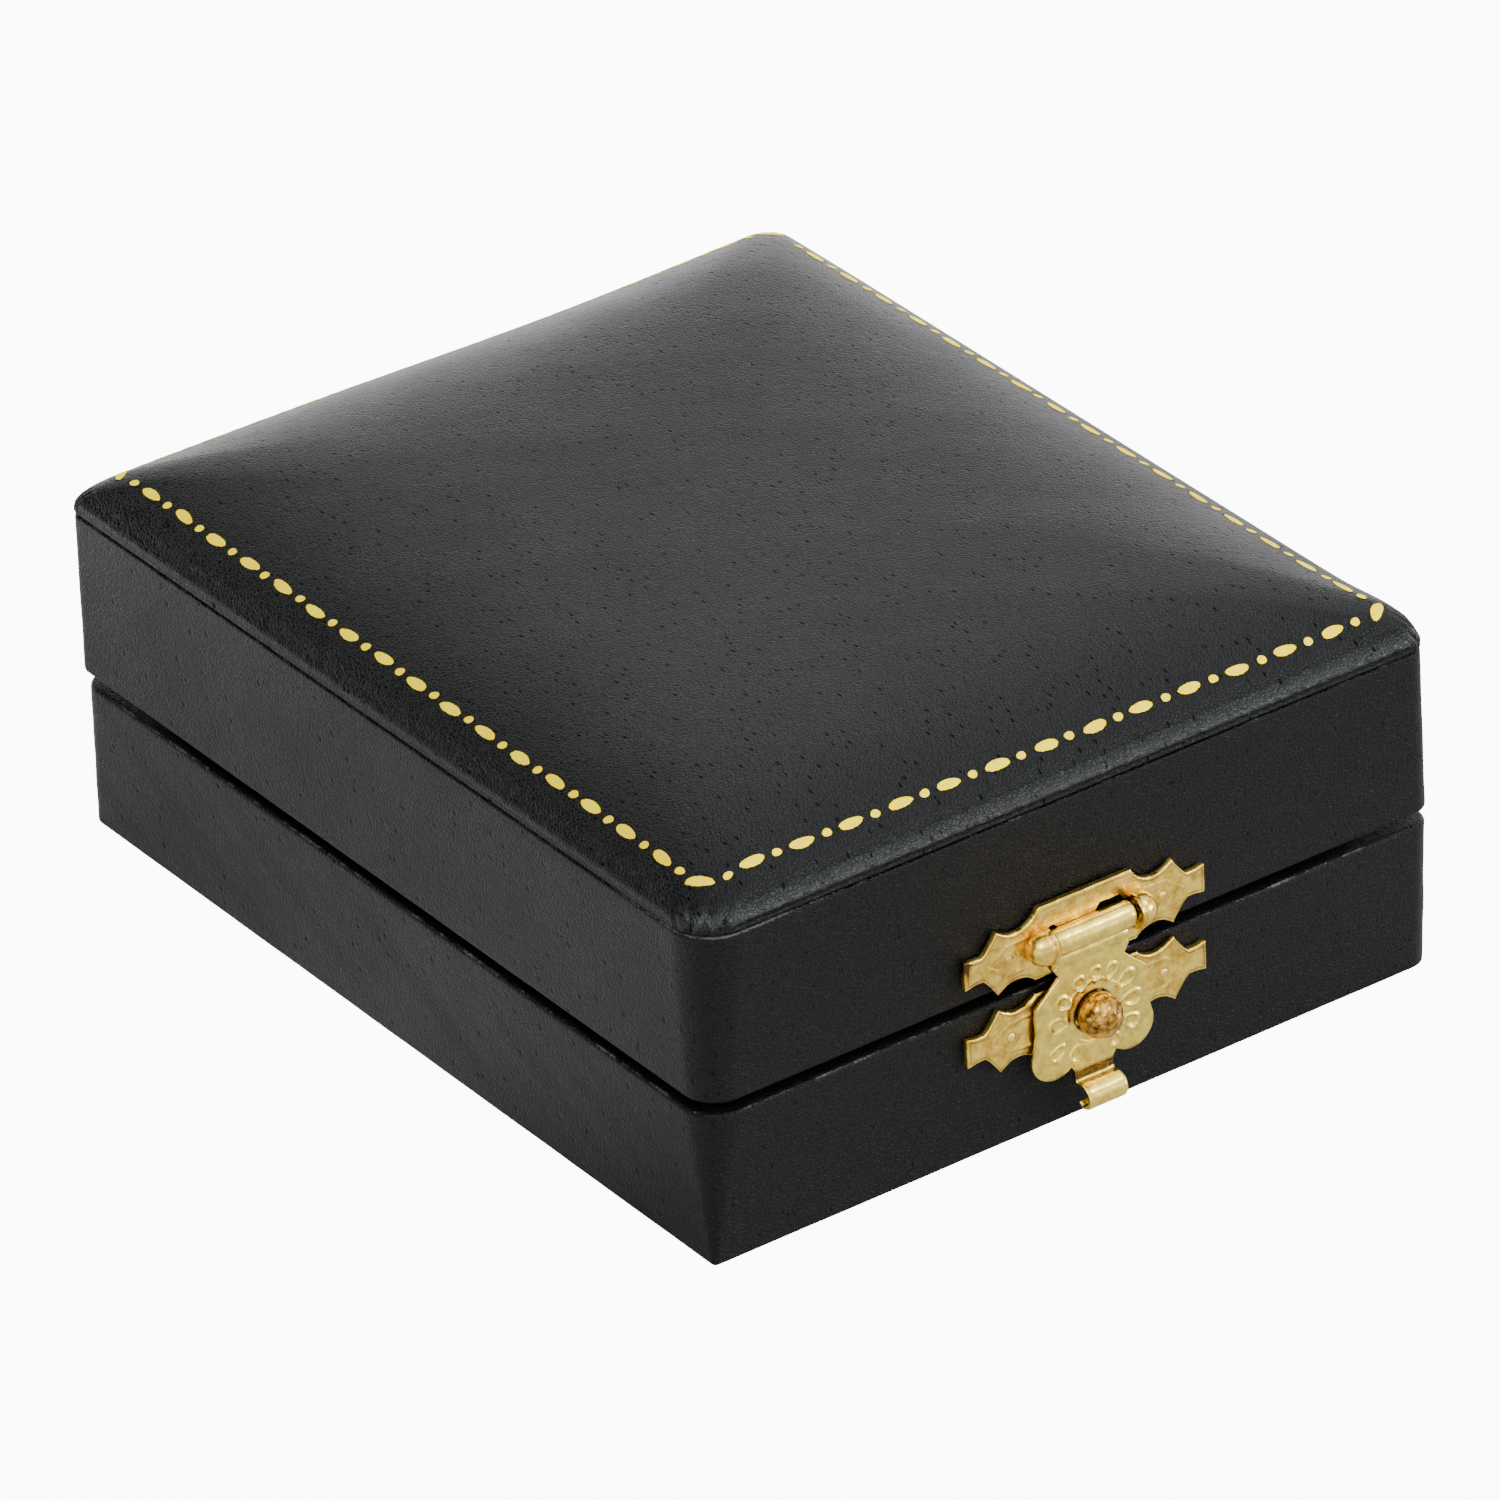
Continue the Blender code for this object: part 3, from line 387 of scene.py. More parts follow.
def leather(name, tint, grain=0.36, depth=0.055, rough=(0.36, 0.50), chalk=1.0, polish=0.0,
            pore=0.6, sheen=(1.0, 1.0, 1.0)):
    """Grained black leather: pebbles between fine creases, long pores, uneven gloss.

    Inside a pore only the share called pore is left of the gloss, and sheen tints the gloss.
    Where the mark attribute is high the edge is rubbed: greyer by chalk, smoother by polish.
    """
    made, node, link = new_material(name)
    place = node("ShaderNodeTexCoord")
    warp = node("ShaderNodeTexNoise", Scale=1600.0, Detail=2.0)
    bent = node("ShaderNodeVectorMath", operation="MULTIPLY_ADD")
    bent.inputs[1].default_value = (0.00022,) * 3
    link(place.outputs["Object"], warp.inputs["Vector"])
    link(warp.outputs["Color"], bent.inputs[0])
    link(place.outputs["Object"], bent.inputs[2])
    cells = node("ShaderNodeTexVoronoi", feature="DISTANCE_TO_EDGE", Scale=1.0 / (grain * MM))
    link(bent.outputs[0], cells.inputs["Vector"])
    crease = ramp(node, [(0.0, 0.0), (0.16, 0.8), (0.5, 1.0)], "EASE")
    link(cells.outputs["Distance"], crease.inputs["Fac"])
    stretch = node("ShaderNodeMapping")
    stretch.inputs["Scale"].default_value = (1.0, 0.42, 0.42)
    link(place.outputs["Object"], stretch.inputs["Vector"])
    pores = node("ShaderNodeTexVoronoi", feature="F1", Scale=1.0 / (0.8 * MM))
    link(stretch.outputs["Vector"], pores.inputs["Vector"])
    pit = ramp(node, [(0.0, 0.0), (0.10, 0.15), (0.19, 1.0)], "EASE")
    link(pores.outputs["Distance"], pit.inputs["Fac"])
    lumps = node("ShaderNodeTexNoise", Scale=900.0, Detail=3.0)
    link(place.outputs["Object"], lumps.inputs["Vector"])
    height = node("ShaderNodeMath", operation="MULTIPLY_ADD")
    height.inputs[1].default_value = 0.9
    link(lumps.outputs["Fac"], height.inputs[0])
    link(crease.outputs["Color"], height.inputs[2])
    pitted = node("ShaderNodeMath", operation="MULTIPLY_ADD")
    pitted.inputs[1].default_value = 1.4
    link(pit.outputs["Color"], pitted.inputs[0])
    link(height.outputs[0], pitted.inputs[2])
    worn = node("ShaderNodeAttribute", attribute_name="mark")
    crumple = node("ShaderNodeTexNoise", Scale=1700.0, Detail=3.0, Distortion=0.8)
    link(place.outputs["Object"], crumple.inputs["Vector"])
    creased = node("ShaderNodeMath", operation="MULTIPLY")
    creased.inputs[1].default_value = 30.0 * polish
    link(worn.outputs["Fac"], creased.inputs[0])
    relief = node("ShaderNodeMath", operation="MULTIPLY_ADD")
    link(crumple.outputs["Fac"], relief.inputs[0])
    link(creased.outputs[0], relief.inputs[1])
    link(pitted.outputs[0], relief.inputs[2])
    bump = node("ShaderNodeBump", Strength=1.0, Distance=depth * MM)
    link(relief.outputs[0], bump.inputs["Height"])

    cloud = node("ShaderNodeTexNoise", Scale=110.0, Detail=4.0)
    link(place.outputs["Object"], cloud.inputs["Vector"])
    dark = tuple(0.72 * channel for channel in tint)
    body = ramp(node, [(0.3, dark), (0.7, tint)])
    link(cloud.outputs["Fac"], body.inputs["Fac"])
    scuff = node("ShaderNodeTexNoise", Scale=3600.0, Detail=5.0, Roughness=0.7)
    link(place.outputs["Object"], scuff.inputs["Vector"])
    rubbed = node("ShaderNodeMath", operation="MULTIPLY")
    link(worn.outputs["Fac"], rubbed.inputs[0])
    link(scuff.outputs["Fac"], rubbed.inputs[1])
    shown = ramp(node, [(0.36, 0.0), (0.56, chalk)])
    link(rubbed.outputs[0], shown.inputs["Fac"])
    holes = node("ShaderNodeMix", data_type="RGBA")
    link(pit.outputs["Color"], holes.inputs["Factor"])
    holes.inputs["A"].default_value = (0.0005, 0.0005, 0.0005, 1.0)
    link(body.outputs["Color"], holes.inputs["B"])
    paint = node("ShaderNodeMix", data_type="RGBA")
    link(shown.outputs["Color"], paint.inputs["Factor"])
    link(holes.outputs["Result"], paint.inputs["A"])
    paint.inputs["B"].default_value = (0.085, 0.090, 0.098, 1.0)
    gloss = node("ShaderNodeMapRange", To_Min=rough[0], To_Max=rough[1])
    link(cloud.outputs["Fac"], gloss.inputs["Value"])
    smoother = node("ShaderNodeMath", operation="MULTIPLY_ADD")
    smoother.inputs[1].default_value = -polish
    link(worn.outputs["Fac"], smoother.inputs[0])
    link(gloss.outputs["Result"], smoother.inputs[2])
    shine = node("ShaderNodeMath", operation="MULTIPLY_ADD")
    shine.inputs[1].default_value = 2.0 * polish
    shine.inputs[2].default_value = 0.17
    link(worn.outputs["Fac"], shine.inputs[0])
    open_pore = node("ShaderNodeMapRange", To_Min=pore, To_Max=1.0)
    link(pit.outputs["Color"], open_pore.inputs["Value"])
    lost = node("ShaderNodeMath", operation="MULTIPLY")
    link(shine.outputs[0], lost.inputs[0])
    link(open_pore.outputs["Result"], lost.inputs[1])
    shader = node("ShaderNodeBsdfPrincipled")
    shader.inputs["Specular Tint"].default_value = (*sheen, 1.0)
    link(paint.outputs["Result"], shader.inputs["Base Color"])
    link(lost.outputs[0], shader.inputs["Specular IOR Level"])
    link(smoother.outputs[0], shader.inputs["Roughness"])
    link(bump.outputs["Normal"], shader.inputs["Normal"])
    link(shader.outputs["BSDF"], node("ShaderNodeOutputMaterial").inputs["Surface"])
    return made


def brass(name, bright, dull, rough=(0.24, 0.42), mottle=900.0, depth=0.012, dirt=(0.10, 0.055, 0.02)):
    """Stamped brass: cloudy tarnish, fine scratches and dents, brown where the mark is high: dirt, and on
    the hasp painted shade at the roll's free end and in the tab's crease.
    """
    made, node, link = new_material(name)
    place = node("ShaderNodeTexCoord")
    cloud = node("ShaderNodeTexNoise", Scale=mottle, Detail=5.0, Roughness=0.62)
    link(place.outputs["Object"], cloud.inputs["Vector"])
    colour = ramp(node, [(0.34, dull), (0.62, bright)])
    link(cloud.outputs["Fac"], colour.inputs["Fac"])
    speck = node("ShaderNodeTexNoise", Scale=5200.0, Detail=2.0)
    link(place.outputs["Object"], speck.inputs["Vector"])
    worn = node("ShaderNodeAttribute", attribute_name="mark")
    held = node("ShaderNodeMath", operation="MULTIPLY_ADD")
    held.inputs[1].default_value = 0.55
    link(speck.outputs["Fac"], held.inputs[0])
    link(worn.outputs["Fac"], held.inputs[2])
    shown = ramp(node, [(0.42, 0.0), (1.1, 1.0)])
    link(held.outputs[0], shown.inputs["Fac"])
    paint = node("ShaderNodeMix", data_type="RGBA")
    link(shown.outputs["Color"], paint.inputs["Factor"])
    link(colour.outputs["Color"], paint.inputs["A"])
    paint.inputs["B"].default_value = (*dirt, 1.0)
    gloss = node("ShaderNodeMapRange", To_Min=rough[1], To_Max=rough[0])
    link(cloud.outputs["Fac"], gloss.inputs["Value"])
    bump = node("ShaderNodeBump", Strength=0.8, Distance=depth * MM)
    fine = node("ShaderNodeTexNoise", Scale=1500.0, Detail=5.0, Roughness=0.6)
    link(place.outputs["Object"], fine.inputs["Vector"])
    link(fine.outputs["Fac"], bump.inputs["Height"])
    shader = node("ShaderNodeBsdfPrincipled", Metallic=1.0)
    link(paint.outputs["Result"], shader.inputs["Base Color"])
    link(gloss.outputs["Result"], shader.inputs["Roughness"])
    link(bump.outputs["Normal"], shader.inputs["Normal"])
    link(shader.outputs["BSDF"], node("ShaderNodeOutputMaterial").inputs["Surface"])
    return made


def gold_foil(name):
    """Hot-stamped yellow foil with missing specks; a burnt brown rim where the mark is high."""
    made, node, link = new_material(name)
    place = node("ShaderNodeTexCoord")
    speck = node("ShaderNodeTexNoise", Scale=3400.0, Detail=3.0, Roughness=0.6)
    link(place.outputs["Object"], speck.inputs["Vector"])
    rim = node("ShaderNodeAttribute", attribute_name="mark")
    missing = node("ShaderNodeMath", operation="ADD")
    link(speck.outputs["Fac"], missing.inputs[0])
    link(rim.outputs["Fac"], missing.inputs[1])
    bare = ramp(node, [(0.70, 0.0), (0.80, 1.0)])
    link(missing.outputs[0], bare.inputs["Fac"])
    tone = node("ShaderNodeTexNoise", Scale=420.0, Detail=2.0)
    link(place.outputs["Object"], tone.inputs["Vector"])
    yellow = ramp(node, [(0.35, (1.0, 0.70, 0.0)), (0.65, (1.0, 0.84, 0.0))])
    link(tone.outputs["Fac"], yellow.inputs["Fac"])
    paint = node("ShaderNodeMix", data_type="RGBA")
    link(bare.outputs["Color"], paint.inputs["Factor"])
    link(yellow.outputs["Color"], paint.inputs["A"])
    paint.inputs["B"].default_value = (0.03, 0.014, 0.004, 1.0)
    shine = node("ShaderNodeMapRange", To_Min=0.2, To_Max=0.0)
    link(bare.outputs["Color"], shine.inputs["Value"])
    bump = node("ShaderNodeBump", Strength=0.6, Distance=0.02 * MM)
    link(speck.outputs["Fac"], bump.inputs["Height"])
    shader = node("ShaderNodeBsdfPrincipled", Roughness=0.42, Specular_IOR_Level=0.0)
    link(paint.outputs["Result"], shader.inputs["Base Color"])
    link(shine.outputs["Result"], shader.inputs["Metallic"])
    link(bump.outputs["Normal"], shader.inputs["Normal"])
    link(shader.outputs["BSDF"], node("ShaderNodeOutputMaterial").inputs["Surface"])
    return made


def pile(name, dark, bright, weave=0.16, depth=0.05, rough=0.9, sheen=0.5):
    """Short pile, foam or pressed board: two tones in a fine random nap, with a soft sheen."""
    made, node, link = new_material(name)
    place = node("ShaderNodeTexCoord")
    nap = node("ShaderNodeTexNoise", Scale=1.0 / (weave * MM), Detail=4.0, Roughness=0.7)
    link(place.outputs["Object"], nap.inputs["Vector"])
    patch = node("ShaderNodeTexNoise", Scale=130.0, Detail=3.0)
    link(place.outputs["Object"], patch.inputs["Vector"])
    both = node("ShaderNodeMath", operation="MULTIPLY_ADD")
    both.inputs[1].default_value = 0.6
    link(patch.outputs["Fac"], both.inputs[0])
    link(nap.outputs["Fac"], both.inputs[2])
    colour = ramp(node, [(0.55, dark), (1.0, bright)])
    link(both.outputs[0], colour.inputs["Fac"])
    bump = node("ShaderNodeBump", Strength=0.9, Distance=depth * MM)
    link(nap.outputs["Fac"], bump.inputs["Height"])
    shader = node("ShaderNodeBsdfPrincipled", Roughness=rough, Sheen_Weight=sheen, Sheen_Roughness=0.4)
    link(colour.outputs["Color"], shader.inputs["Base Color"])
    link(bump.outputs["Normal"], shader.inputs["Normal"])
    link(shader.outputs["BSDF"], node("ShaderNodeOutputMaterial").inputs["Surface"])
    return made


def satin_cloth(name, tint, thread=0.11):
    """Woven satin: long floats of thread across, crossed by fine ones, with a silky gloss."""
    made, node, link = new_material(name)
    place = node("ShaderNodeTexCoord")
    waves = 0.05 / (thread * MM)
    floats = node("ShaderNodeTexWave", bands_direction="X", Scale=waves, Distortion=1.2)
    floats.inputs["Detail Scale"].default_value = 3.0
    link(place.outputs["Object"], floats.inputs["Vector"])
    cross = node("ShaderNodeTexWave", bands_direction="Y", Scale=waves / 2, Distortion=0.8)
    link(place.outputs["Object"], cross.inputs["Vector"])
    weave = node("ShaderNodeMath", operation="MULTIPLY_ADD")
    weave.inputs[1].default_value = 0.4
    link(cross.outputs["Fac"], weave.inputs[0])
    link(floats.outputs["Fac"], weave.inputs[2])
    bump = node("ShaderNodeBump", Strength=0.5, Distance=0.015 * MM)
    link(weave.outputs[0], bump.inputs["Height"])
    cloud = node("ShaderNodeTexNoise", Scale=90.0, Detail=3.0)
    link(place.outputs["Object"], cloud.inputs["Vector"])
    shade = tuple(0.86 * channel for channel in tint)
    colour = ramp(node, [(0.35, shade), (0.65, tint)])
    link(cloud.outputs["Fac"], colour.inputs["Fac"])
    shader = node("ShaderNodeBsdfPrincipled", Roughness=0.36, Sheen_Weight=0.35, Anisotropic=0.4)
    link(colour.outputs["Color"], shader.inputs["Base Color"])
    link(bump.outputs["Normal"], shader.inputs["Normal"])
    link(shader.outputs["BSDF"], node("ShaderNodeOutputMaterial").inputs["Surface"])
    return made


BLACK_LEATHER = leather("black_grained_leather", (0.0016, 0.0017, 0.0019))
TOP_LEATHER = leather("black_padded_leather", (0.0016, 0.0018, 0.0021), grain=0.34, depth=0.065,
                      rough=(0.33, 0.47), chalk=0.0, polish=0.26, pore=0.15, sheen=(0.93, 0.99, 1.0))
FOIL = gold_foil("gold_foil")
PLATE_BRASS = brass("stamped_brass", (1.0, 0.72, 0.14), (0.56, 0.31, 0.035), (0.14, 0.34), 1000.0, 0.06)
HASP_BRASS = brass("hasp_brass", (1.0, 0.78, 0.15), (0.66, 0.47, 0.08), (0.18, 0.38), 1100.0, 0.05)
# The knob's brass is a darker copy of the plates' brass, near black in its dull patches: painted shade
# standing in for the dark reflections on the round knob.
KNOB_BRASS_PAINTED_DARK = brass("knob_brass", (0.72, 0.39, 0.07), (0.07, 0.03, 0.007), (0.07, 0.24), 1400.0, 0.08)
NAIL_BRASS = brass("nail_brass", (1.0, 0.74, 0.22), (0.66, 0.40, 0.08))
HINGE_BRASS = brass("hinge_brass", (0.82, 0.62, 0.30), (0.56, 0.38, 0.16), mottle=600.0)
CARD = pile("pressed_board", (0.055, 0.030, 0.017), (0.19, 0.115, 0.065), 0.3, 0.04, 0.85, 0.0)
FLOCK = pile("brown_flock", (0.018, 0.009, 0.005), (0.075, 0.040, 0.024), 0.12, 0.06, 0.95, 0.3)
VELVET = pile("black_velvet", (0.003, 0.003, 0.004), (0.018, 0.018, 0.021), 0.14, 0.08, 0.95, 0.22)
FOAM = pile("grey_foam", (0.24, 0.24, 0.23), (0.55, 0.55, 0.53), 0.5, 0.2, 0.95, 0.1)
PAPER = pile("black_paper", (0.010, 0.010, 0.011), (0.055, 0.055, 0.058), 0.22, 0.03, 0.85, 0.0)
SATIN = satin_cloth("ivory_satin", (0.80, 0.75, 0.65))


# ---------------------------------------------------------------- leather skins

def make_base_leather():
    """Base skin: under the foot, up the leaning wall, over the rounded rim and down inside."""
    top = BASE_HIGH.z
    low = FOOT_ROUND
    inner = 0.75 * SKIN
    profile = np.concatenate([
        line((3 * MM, 0), (low, 0), 4),
        arc(low, low, low, -90, 0),
        line((0, 2 * low), (0, top - RIM_ROUND), 16),
        arc(RIM_ROUND, top - RIM_ROUND, RIM_ROUND, 0, 90, 7),
        line((1.3 * RIM_ROUND, top), (FLANGE, top), 12),
        line((FLANGE, top), (FLANGE, top - inner), 2),
        line((FLANGE, top - inner), (SKIN, top - inner), 12),
        line((SKIN, top - inner), (SKIN, SKIN), 8),
        line((SKIN, SKIN), (3 * MM, SKIN), 4),
    ])
    columns = outline_columns(10, 130, 150)
    points = wall_points(profile, columns, 0, top, BASE_LEAN, 0, FOOT_RADII, BASE_RIM_RADII)
    out = outward(columns)
    along = run_round(points[20])
    z = points[..., 2]
    bow = 0.05 * MM * ripple(along[None, :] + 2.0 * z, (31 * MM, 17 * MM, 9 * MM), 3)
    skinned = hump(z - 0.5 * top, 0.5 * top)
    points = points + (bow * skinned)[..., None] * out
    crest = hump(profile[:, 0] - 0.22 * MM, 0.2 * MM)[:, None]
    rim = hump(z - top + 0.1 * MM, 0.3 * MM) * crest
    patchy = 0.5 + 0.5 * ripple(along[None, :], (23 * MM, 9 * MM, 4 * MM, 1.9 * MM), 8)
    foot = 0.6 * hump(z, 0.2 * MM) * (profile[:, 0] < 0.2 * MM)[:, None]
    marks = np.maximum(rim * (0.35 + 0.9 * patchy), foot)
    points = hinge_dents(points, -1)
    quads = grid_quads(len(profile), points.shape[1], wrap_rows=True, wrap_columns=True)
    part = (points.reshape(-1, 3), quads, marks.reshape(-1))
    make_piece("base_leather", part, BLACK_LEATHER, "base", ["base_cover"], 60)


def make_lid_side_leather():
    """Lid wall skin: over the rounded rim at the gap, up the wall, turned in at the seam."""
    low = SIDE_LOW.z
    top = SIDE_HIGH.z
    inner = 0.75 * SKIN
    edge = 0.3 * MM
    profile = np.concatenate([
        line((FLANGE, low), (1.3 * RIM_ROUND, low), 12),
        arc(RIM_ROUND, low + RIM_ROUND, RIM_ROUND, -90, 0, 7),
        line((0, low + 1.4 * RIM_ROUND), (0, top - edge), 18),
        arc(edge, top - edge, edge, 0, 90, 6),
        line((1.3 * edge, top), (3 * MM, top), 5),
        line((3 * MM, top), (3 * MM, top - inner), 2),
        line((3 * MM, top - inner), (SKIN, top - inner), 5),
        line((SKIN, top - inner), (SKIN, low + inner), 8),
        line((SKIN, low + inner), (FLANGE, low + inner), 12),
    ])
    columns = outline_columns(14, 130, 160)
    points = wall_points(profile, columns, low, top, 0, LID_LEAN, LID_RIM_RADII, SEAM_RADII)
    along = run_round(points[24])
    z = points[..., 2]
    bow = 0.05 * MM * ripple(along[None, :] - z, (37 * MM, 19 * MM, 8 * MM), 5)
    points = points + (bow * hump(z - (low + top) / 2, 0.5 * (top - low)))[..., None] * outward(columns)
    outer = (profile[:, 0] < 0.35 * MM)[:, None]
    patchy = 0.5 + 0.5 * ripple(along[None, :], (29 * MM, 13 * MM, 5 * MM, 2.3 * MM), 12)
    corner = hump(np.hypot(points[..., 0] + HALF_X, points[..., 1] + HALF_Y), 12 * MM)
    seam = hump(z - top, 0.16 * MM) * outer * (0.42 + 0.55 * patchy + 0.6 * corner)
    rim = 0.75 * hump(z - low, 0.4 * MM) * outer * patchy
    points = hinge_dents(points, 1)
    quads = grid_quads(len(profile), points.shape[1], wrap_rows=True, wrap_columns=True)
    part = (points.reshape(-1, 3), quads, np.maximum(seam, rim).reshape(-1))
    make_piece("lid_side_leather", part, BLACK_LEATHER, "lid", ["lid_side_cover"], 60)


def crown_rise(inset):
    """Height of the padded top above the seam at a distance in from its edge."""
    angle = np.arccos(np.clip(1 - inset / RUN_AXIS, -1, 1))
    edge = RISE_AXIS * np.sin(np.minimum(angle, EDGE_ANGLE))
    beyond = np.maximum(inset - EDGE_RUN, 0)
    return edge + CROWN_RISE * (1 - np.exp(-beyond / CROWN_FADE))


def top_radii(inset, half_x, least):
    """Corner radius of the padded top's outlines, which opens inwards so the ridges are soft."""
    return np.minimum(least + CORNER_GROWTH * inset, 0.97 * half_x)


def top_inset(x, y):
    """Distance in from the padded top's edge at (x, y): halving steps find the outline,
    half size less inset with its corner radius, on which the point lies."""
    low = np.zeros_like(x)
    high = np.full_like(x, HALF_X - LID_LEAN - MM)
    back = np.where(x > 0, SEAM_RADII[0], SEAM_RADII[1])
    front = np.where(x > 0, SEAM_RADII[3], SEAM_RADII[2])
    least = np.where(y > 0, back, front)
    for _ in range(30):
        inset = (low + high) / 2
        half_x = HALF_X - LID_LEAN - inset
        half_y = HALF_Y - LID_LEAN - inset
        radius = top_radii(inset, half_x, least)
        corner_x = np.abs(x) - (half_x - radius)
        corner_y = np.abs(y) - (half_y - radius)
        outside = np.hypot(np.maximum(corner_x, 0), np.maximum(corner_y, 0))
        outside += np.minimum(np.maximum(corner_x, corner_y), 0) - radius
        low = np.where(outside < 0, inset, low)
        high = np.where(outside < 0, high, inset)
    return inset


def top_uneven(x, y):
    """How far the padding stands proud: up at the right front corner, sunk along the back."""
    full = 0.6 * MM * hump(np.hypot(x - 38.5 * MM, y + 42.5 * MM), 4.2 * MM)
    return full - 0.6 * MM * hump(x - 12 * MM, 20 * MM) * hump(y - HALF_Y, 9 * MM)


def top_height(x, y):
    """Height of the padded top's surface at (x, y)."""
    inset = top_inset(x, y)
    return TOP_LOW.z + crown_rise(inset) + top_uneven(x, y) * smooth(inset, 0, UNEVEN_RUN)


def make_top_leather():
    """Padded top: nested round-cornered outlines that rise as crown_rise says, with a rolled
    ridge above the seam and leather gathered in pleats at the corners."""
    edge_inset = RUN_AXIS * (1 - np.cos(np.linspace(0, EDGE_ANGLE, 30)))
    widest = HALF_X - LID_LEAN
    middle = EDGE_RUN + (widest - EDGE_RUN) * np.linspace(0, 1, 44)[1:] ** 1.5
    outer = np.concatenate([edge_inset, middle])
    under = np.array([3.0, 1.6, 0.8, 0.32]) * MM
    turn = arc(0.32 * MM, 0.32 * MM, 0.32 * MM, -80, -12, 4)
    inner = outer[::4][::-1][1:]
    inset = np.concatenate([inner + SKIN, under, turn[:, 0], outer])
    inner_rise = np.maximum(crown_rise(inner) - SKIN, 0.05 * MM)
    rise = np.concatenate([inner_rise, np.zeros(4), turn[:, 1], crown_rise(outer)])
    inset[0] = widest
    start = len(inner) + len(under)
    half_x = np.maximum(widest - inset, 0)
    half_y = HALF_Y - LID_LEAN - inset
    columns = outline_columns(34, 170, 200)
    radii = top_radii(inset[:, None], half_x[:, None], SEAM_RADII)
    flat = outlines(columns, half_x, half_y, radii)
    height = np.broadcast_to((TOP_LOW.z + rise)[:, None, None], (*flat.shape[:2], 1))
    points = np.concatenate([flat, height], -1)

    out = outward(columns)
    along = run_round(points[start + 4])[None, :]
    up = rise[:, None]
    shown = (np.arange(len(inset)) >= start)[:, None]
    crinkle = ripple(along + 0.6 * up, (3.7 * MM, 2.1 * MM, 1.37 * MM, 0.9 * MM), 21)
    ahead = smooth(-np.sin(columns[3]), 0.2, 0.9)[None, :]
    share = 0.35 + 0.65 * ahead
    roll = 0.30 * hump(up - 0.95 * MM, 0.36 * MM) - 0.12 * hump(up - 0.28 * MM, 0.25 * MM)
    roll = (roll - 0.16 * hump(up - 1.65 * MM, 0.34 * MM)) * share
    wrinkle = 0.13 * crinkle * hump(up - 0.95 * MM, 0.5 * MM) * share
    corner_x = np.abs(flat[..., 0]) > HALF_X - LID_LEAN - GATHER
    corner_y = np.abs(flat[..., 1]) > HALF_Y - LID_LEAN - GATHER
    turn_angle = np.degrees(columns[3])[None, :] % 90
    near = (columns[0] == columns[1])[None, :] * np.sin(np.radians(2 * turn_angle)) ** 0.6
    fold = np.abs(np.cos(np.radians(turn_angle * 9.0 + 12 * np.sin(up / (0.9 * MM))))) ** 0.7 - 0.6
    pleats = 0.48 * fold * near * hump(up - 1.0 * MM, 0.95 * MM) * (corner_x & corner_y)
    shift = (roll * (1 - near) + wrinkle + pleats) * MM * shown
    points = points + shift[..., None] * out
    quilt = 0.018 * MM * ripple(flat[..., 0] + 1.7 * flat[..., 1], (21 * MM, 13 * MM, 34 * MM), 31)
    points[..., 2] += quilt * smooth(inset[:, None], 4 * MM, 14 * MM) * shown
    points[..., 2] += top_uneven(flat[..., 0], flat[..., 1]) * smooth(inset[:, None], 0, UNEVEN_RUN) * shown
    rubbed = np.minimum(ahead + 0.5 * near, 1) * shown
    marks = hump(up - 1.0 * MM, 0.55 * MM) * (0.8 + 0.3 * crinkle) * rubbed
    quads = grid_quads(*points.shape[:2], wrap_columns=True)
    part = (points.reshape(-1, 3), quads, marks.reshape(-1))
    make_piece("lid_top_leather", part, TOP_LEATHER, "lid", ["lid_top_cover"], 60)


# ---------------------------------------------------------------- gold border

def border_marks():
    """Centre, direction and half sizes of each stamped mark: ovals and dots take turns along
    the four rows at an even pitch, one oval lies across each corner, and all is turned a little."""
    spots = []
    for turn, across, middle, pitch, count, oval in BORDER_ROWS:
        for number in range(1, 2 * count + 2):
            place = middle + pitch * (number - count - 1) / 2
            is_oval = number % 2 == 0
            drift = hump(place + 42.5 * MM, 4 * MM) if turn and across > 0 else 0
            place += 0.6 * MM * drift
            centre = (across + 0.4 * MM * drift, place) if turn else (place, across)
            spots.append((*centre, turn + (0 if is_oval else 14), *(oval if is_oval else DOT)))
    for (sign_x, sign_y), centre in zip(SIGNS, BORDER_CORNERS):
        spots.append((*centre, -45 * sign_x * sign_y, *CORNER_OVAL))
    spots = np.array(spots)
    turn = np.array([[1, -BORDER_TURN], [BORDER_TURN, 1]])
    spots[:, :2] = spots[:, :2] @ turn.T
    return spots


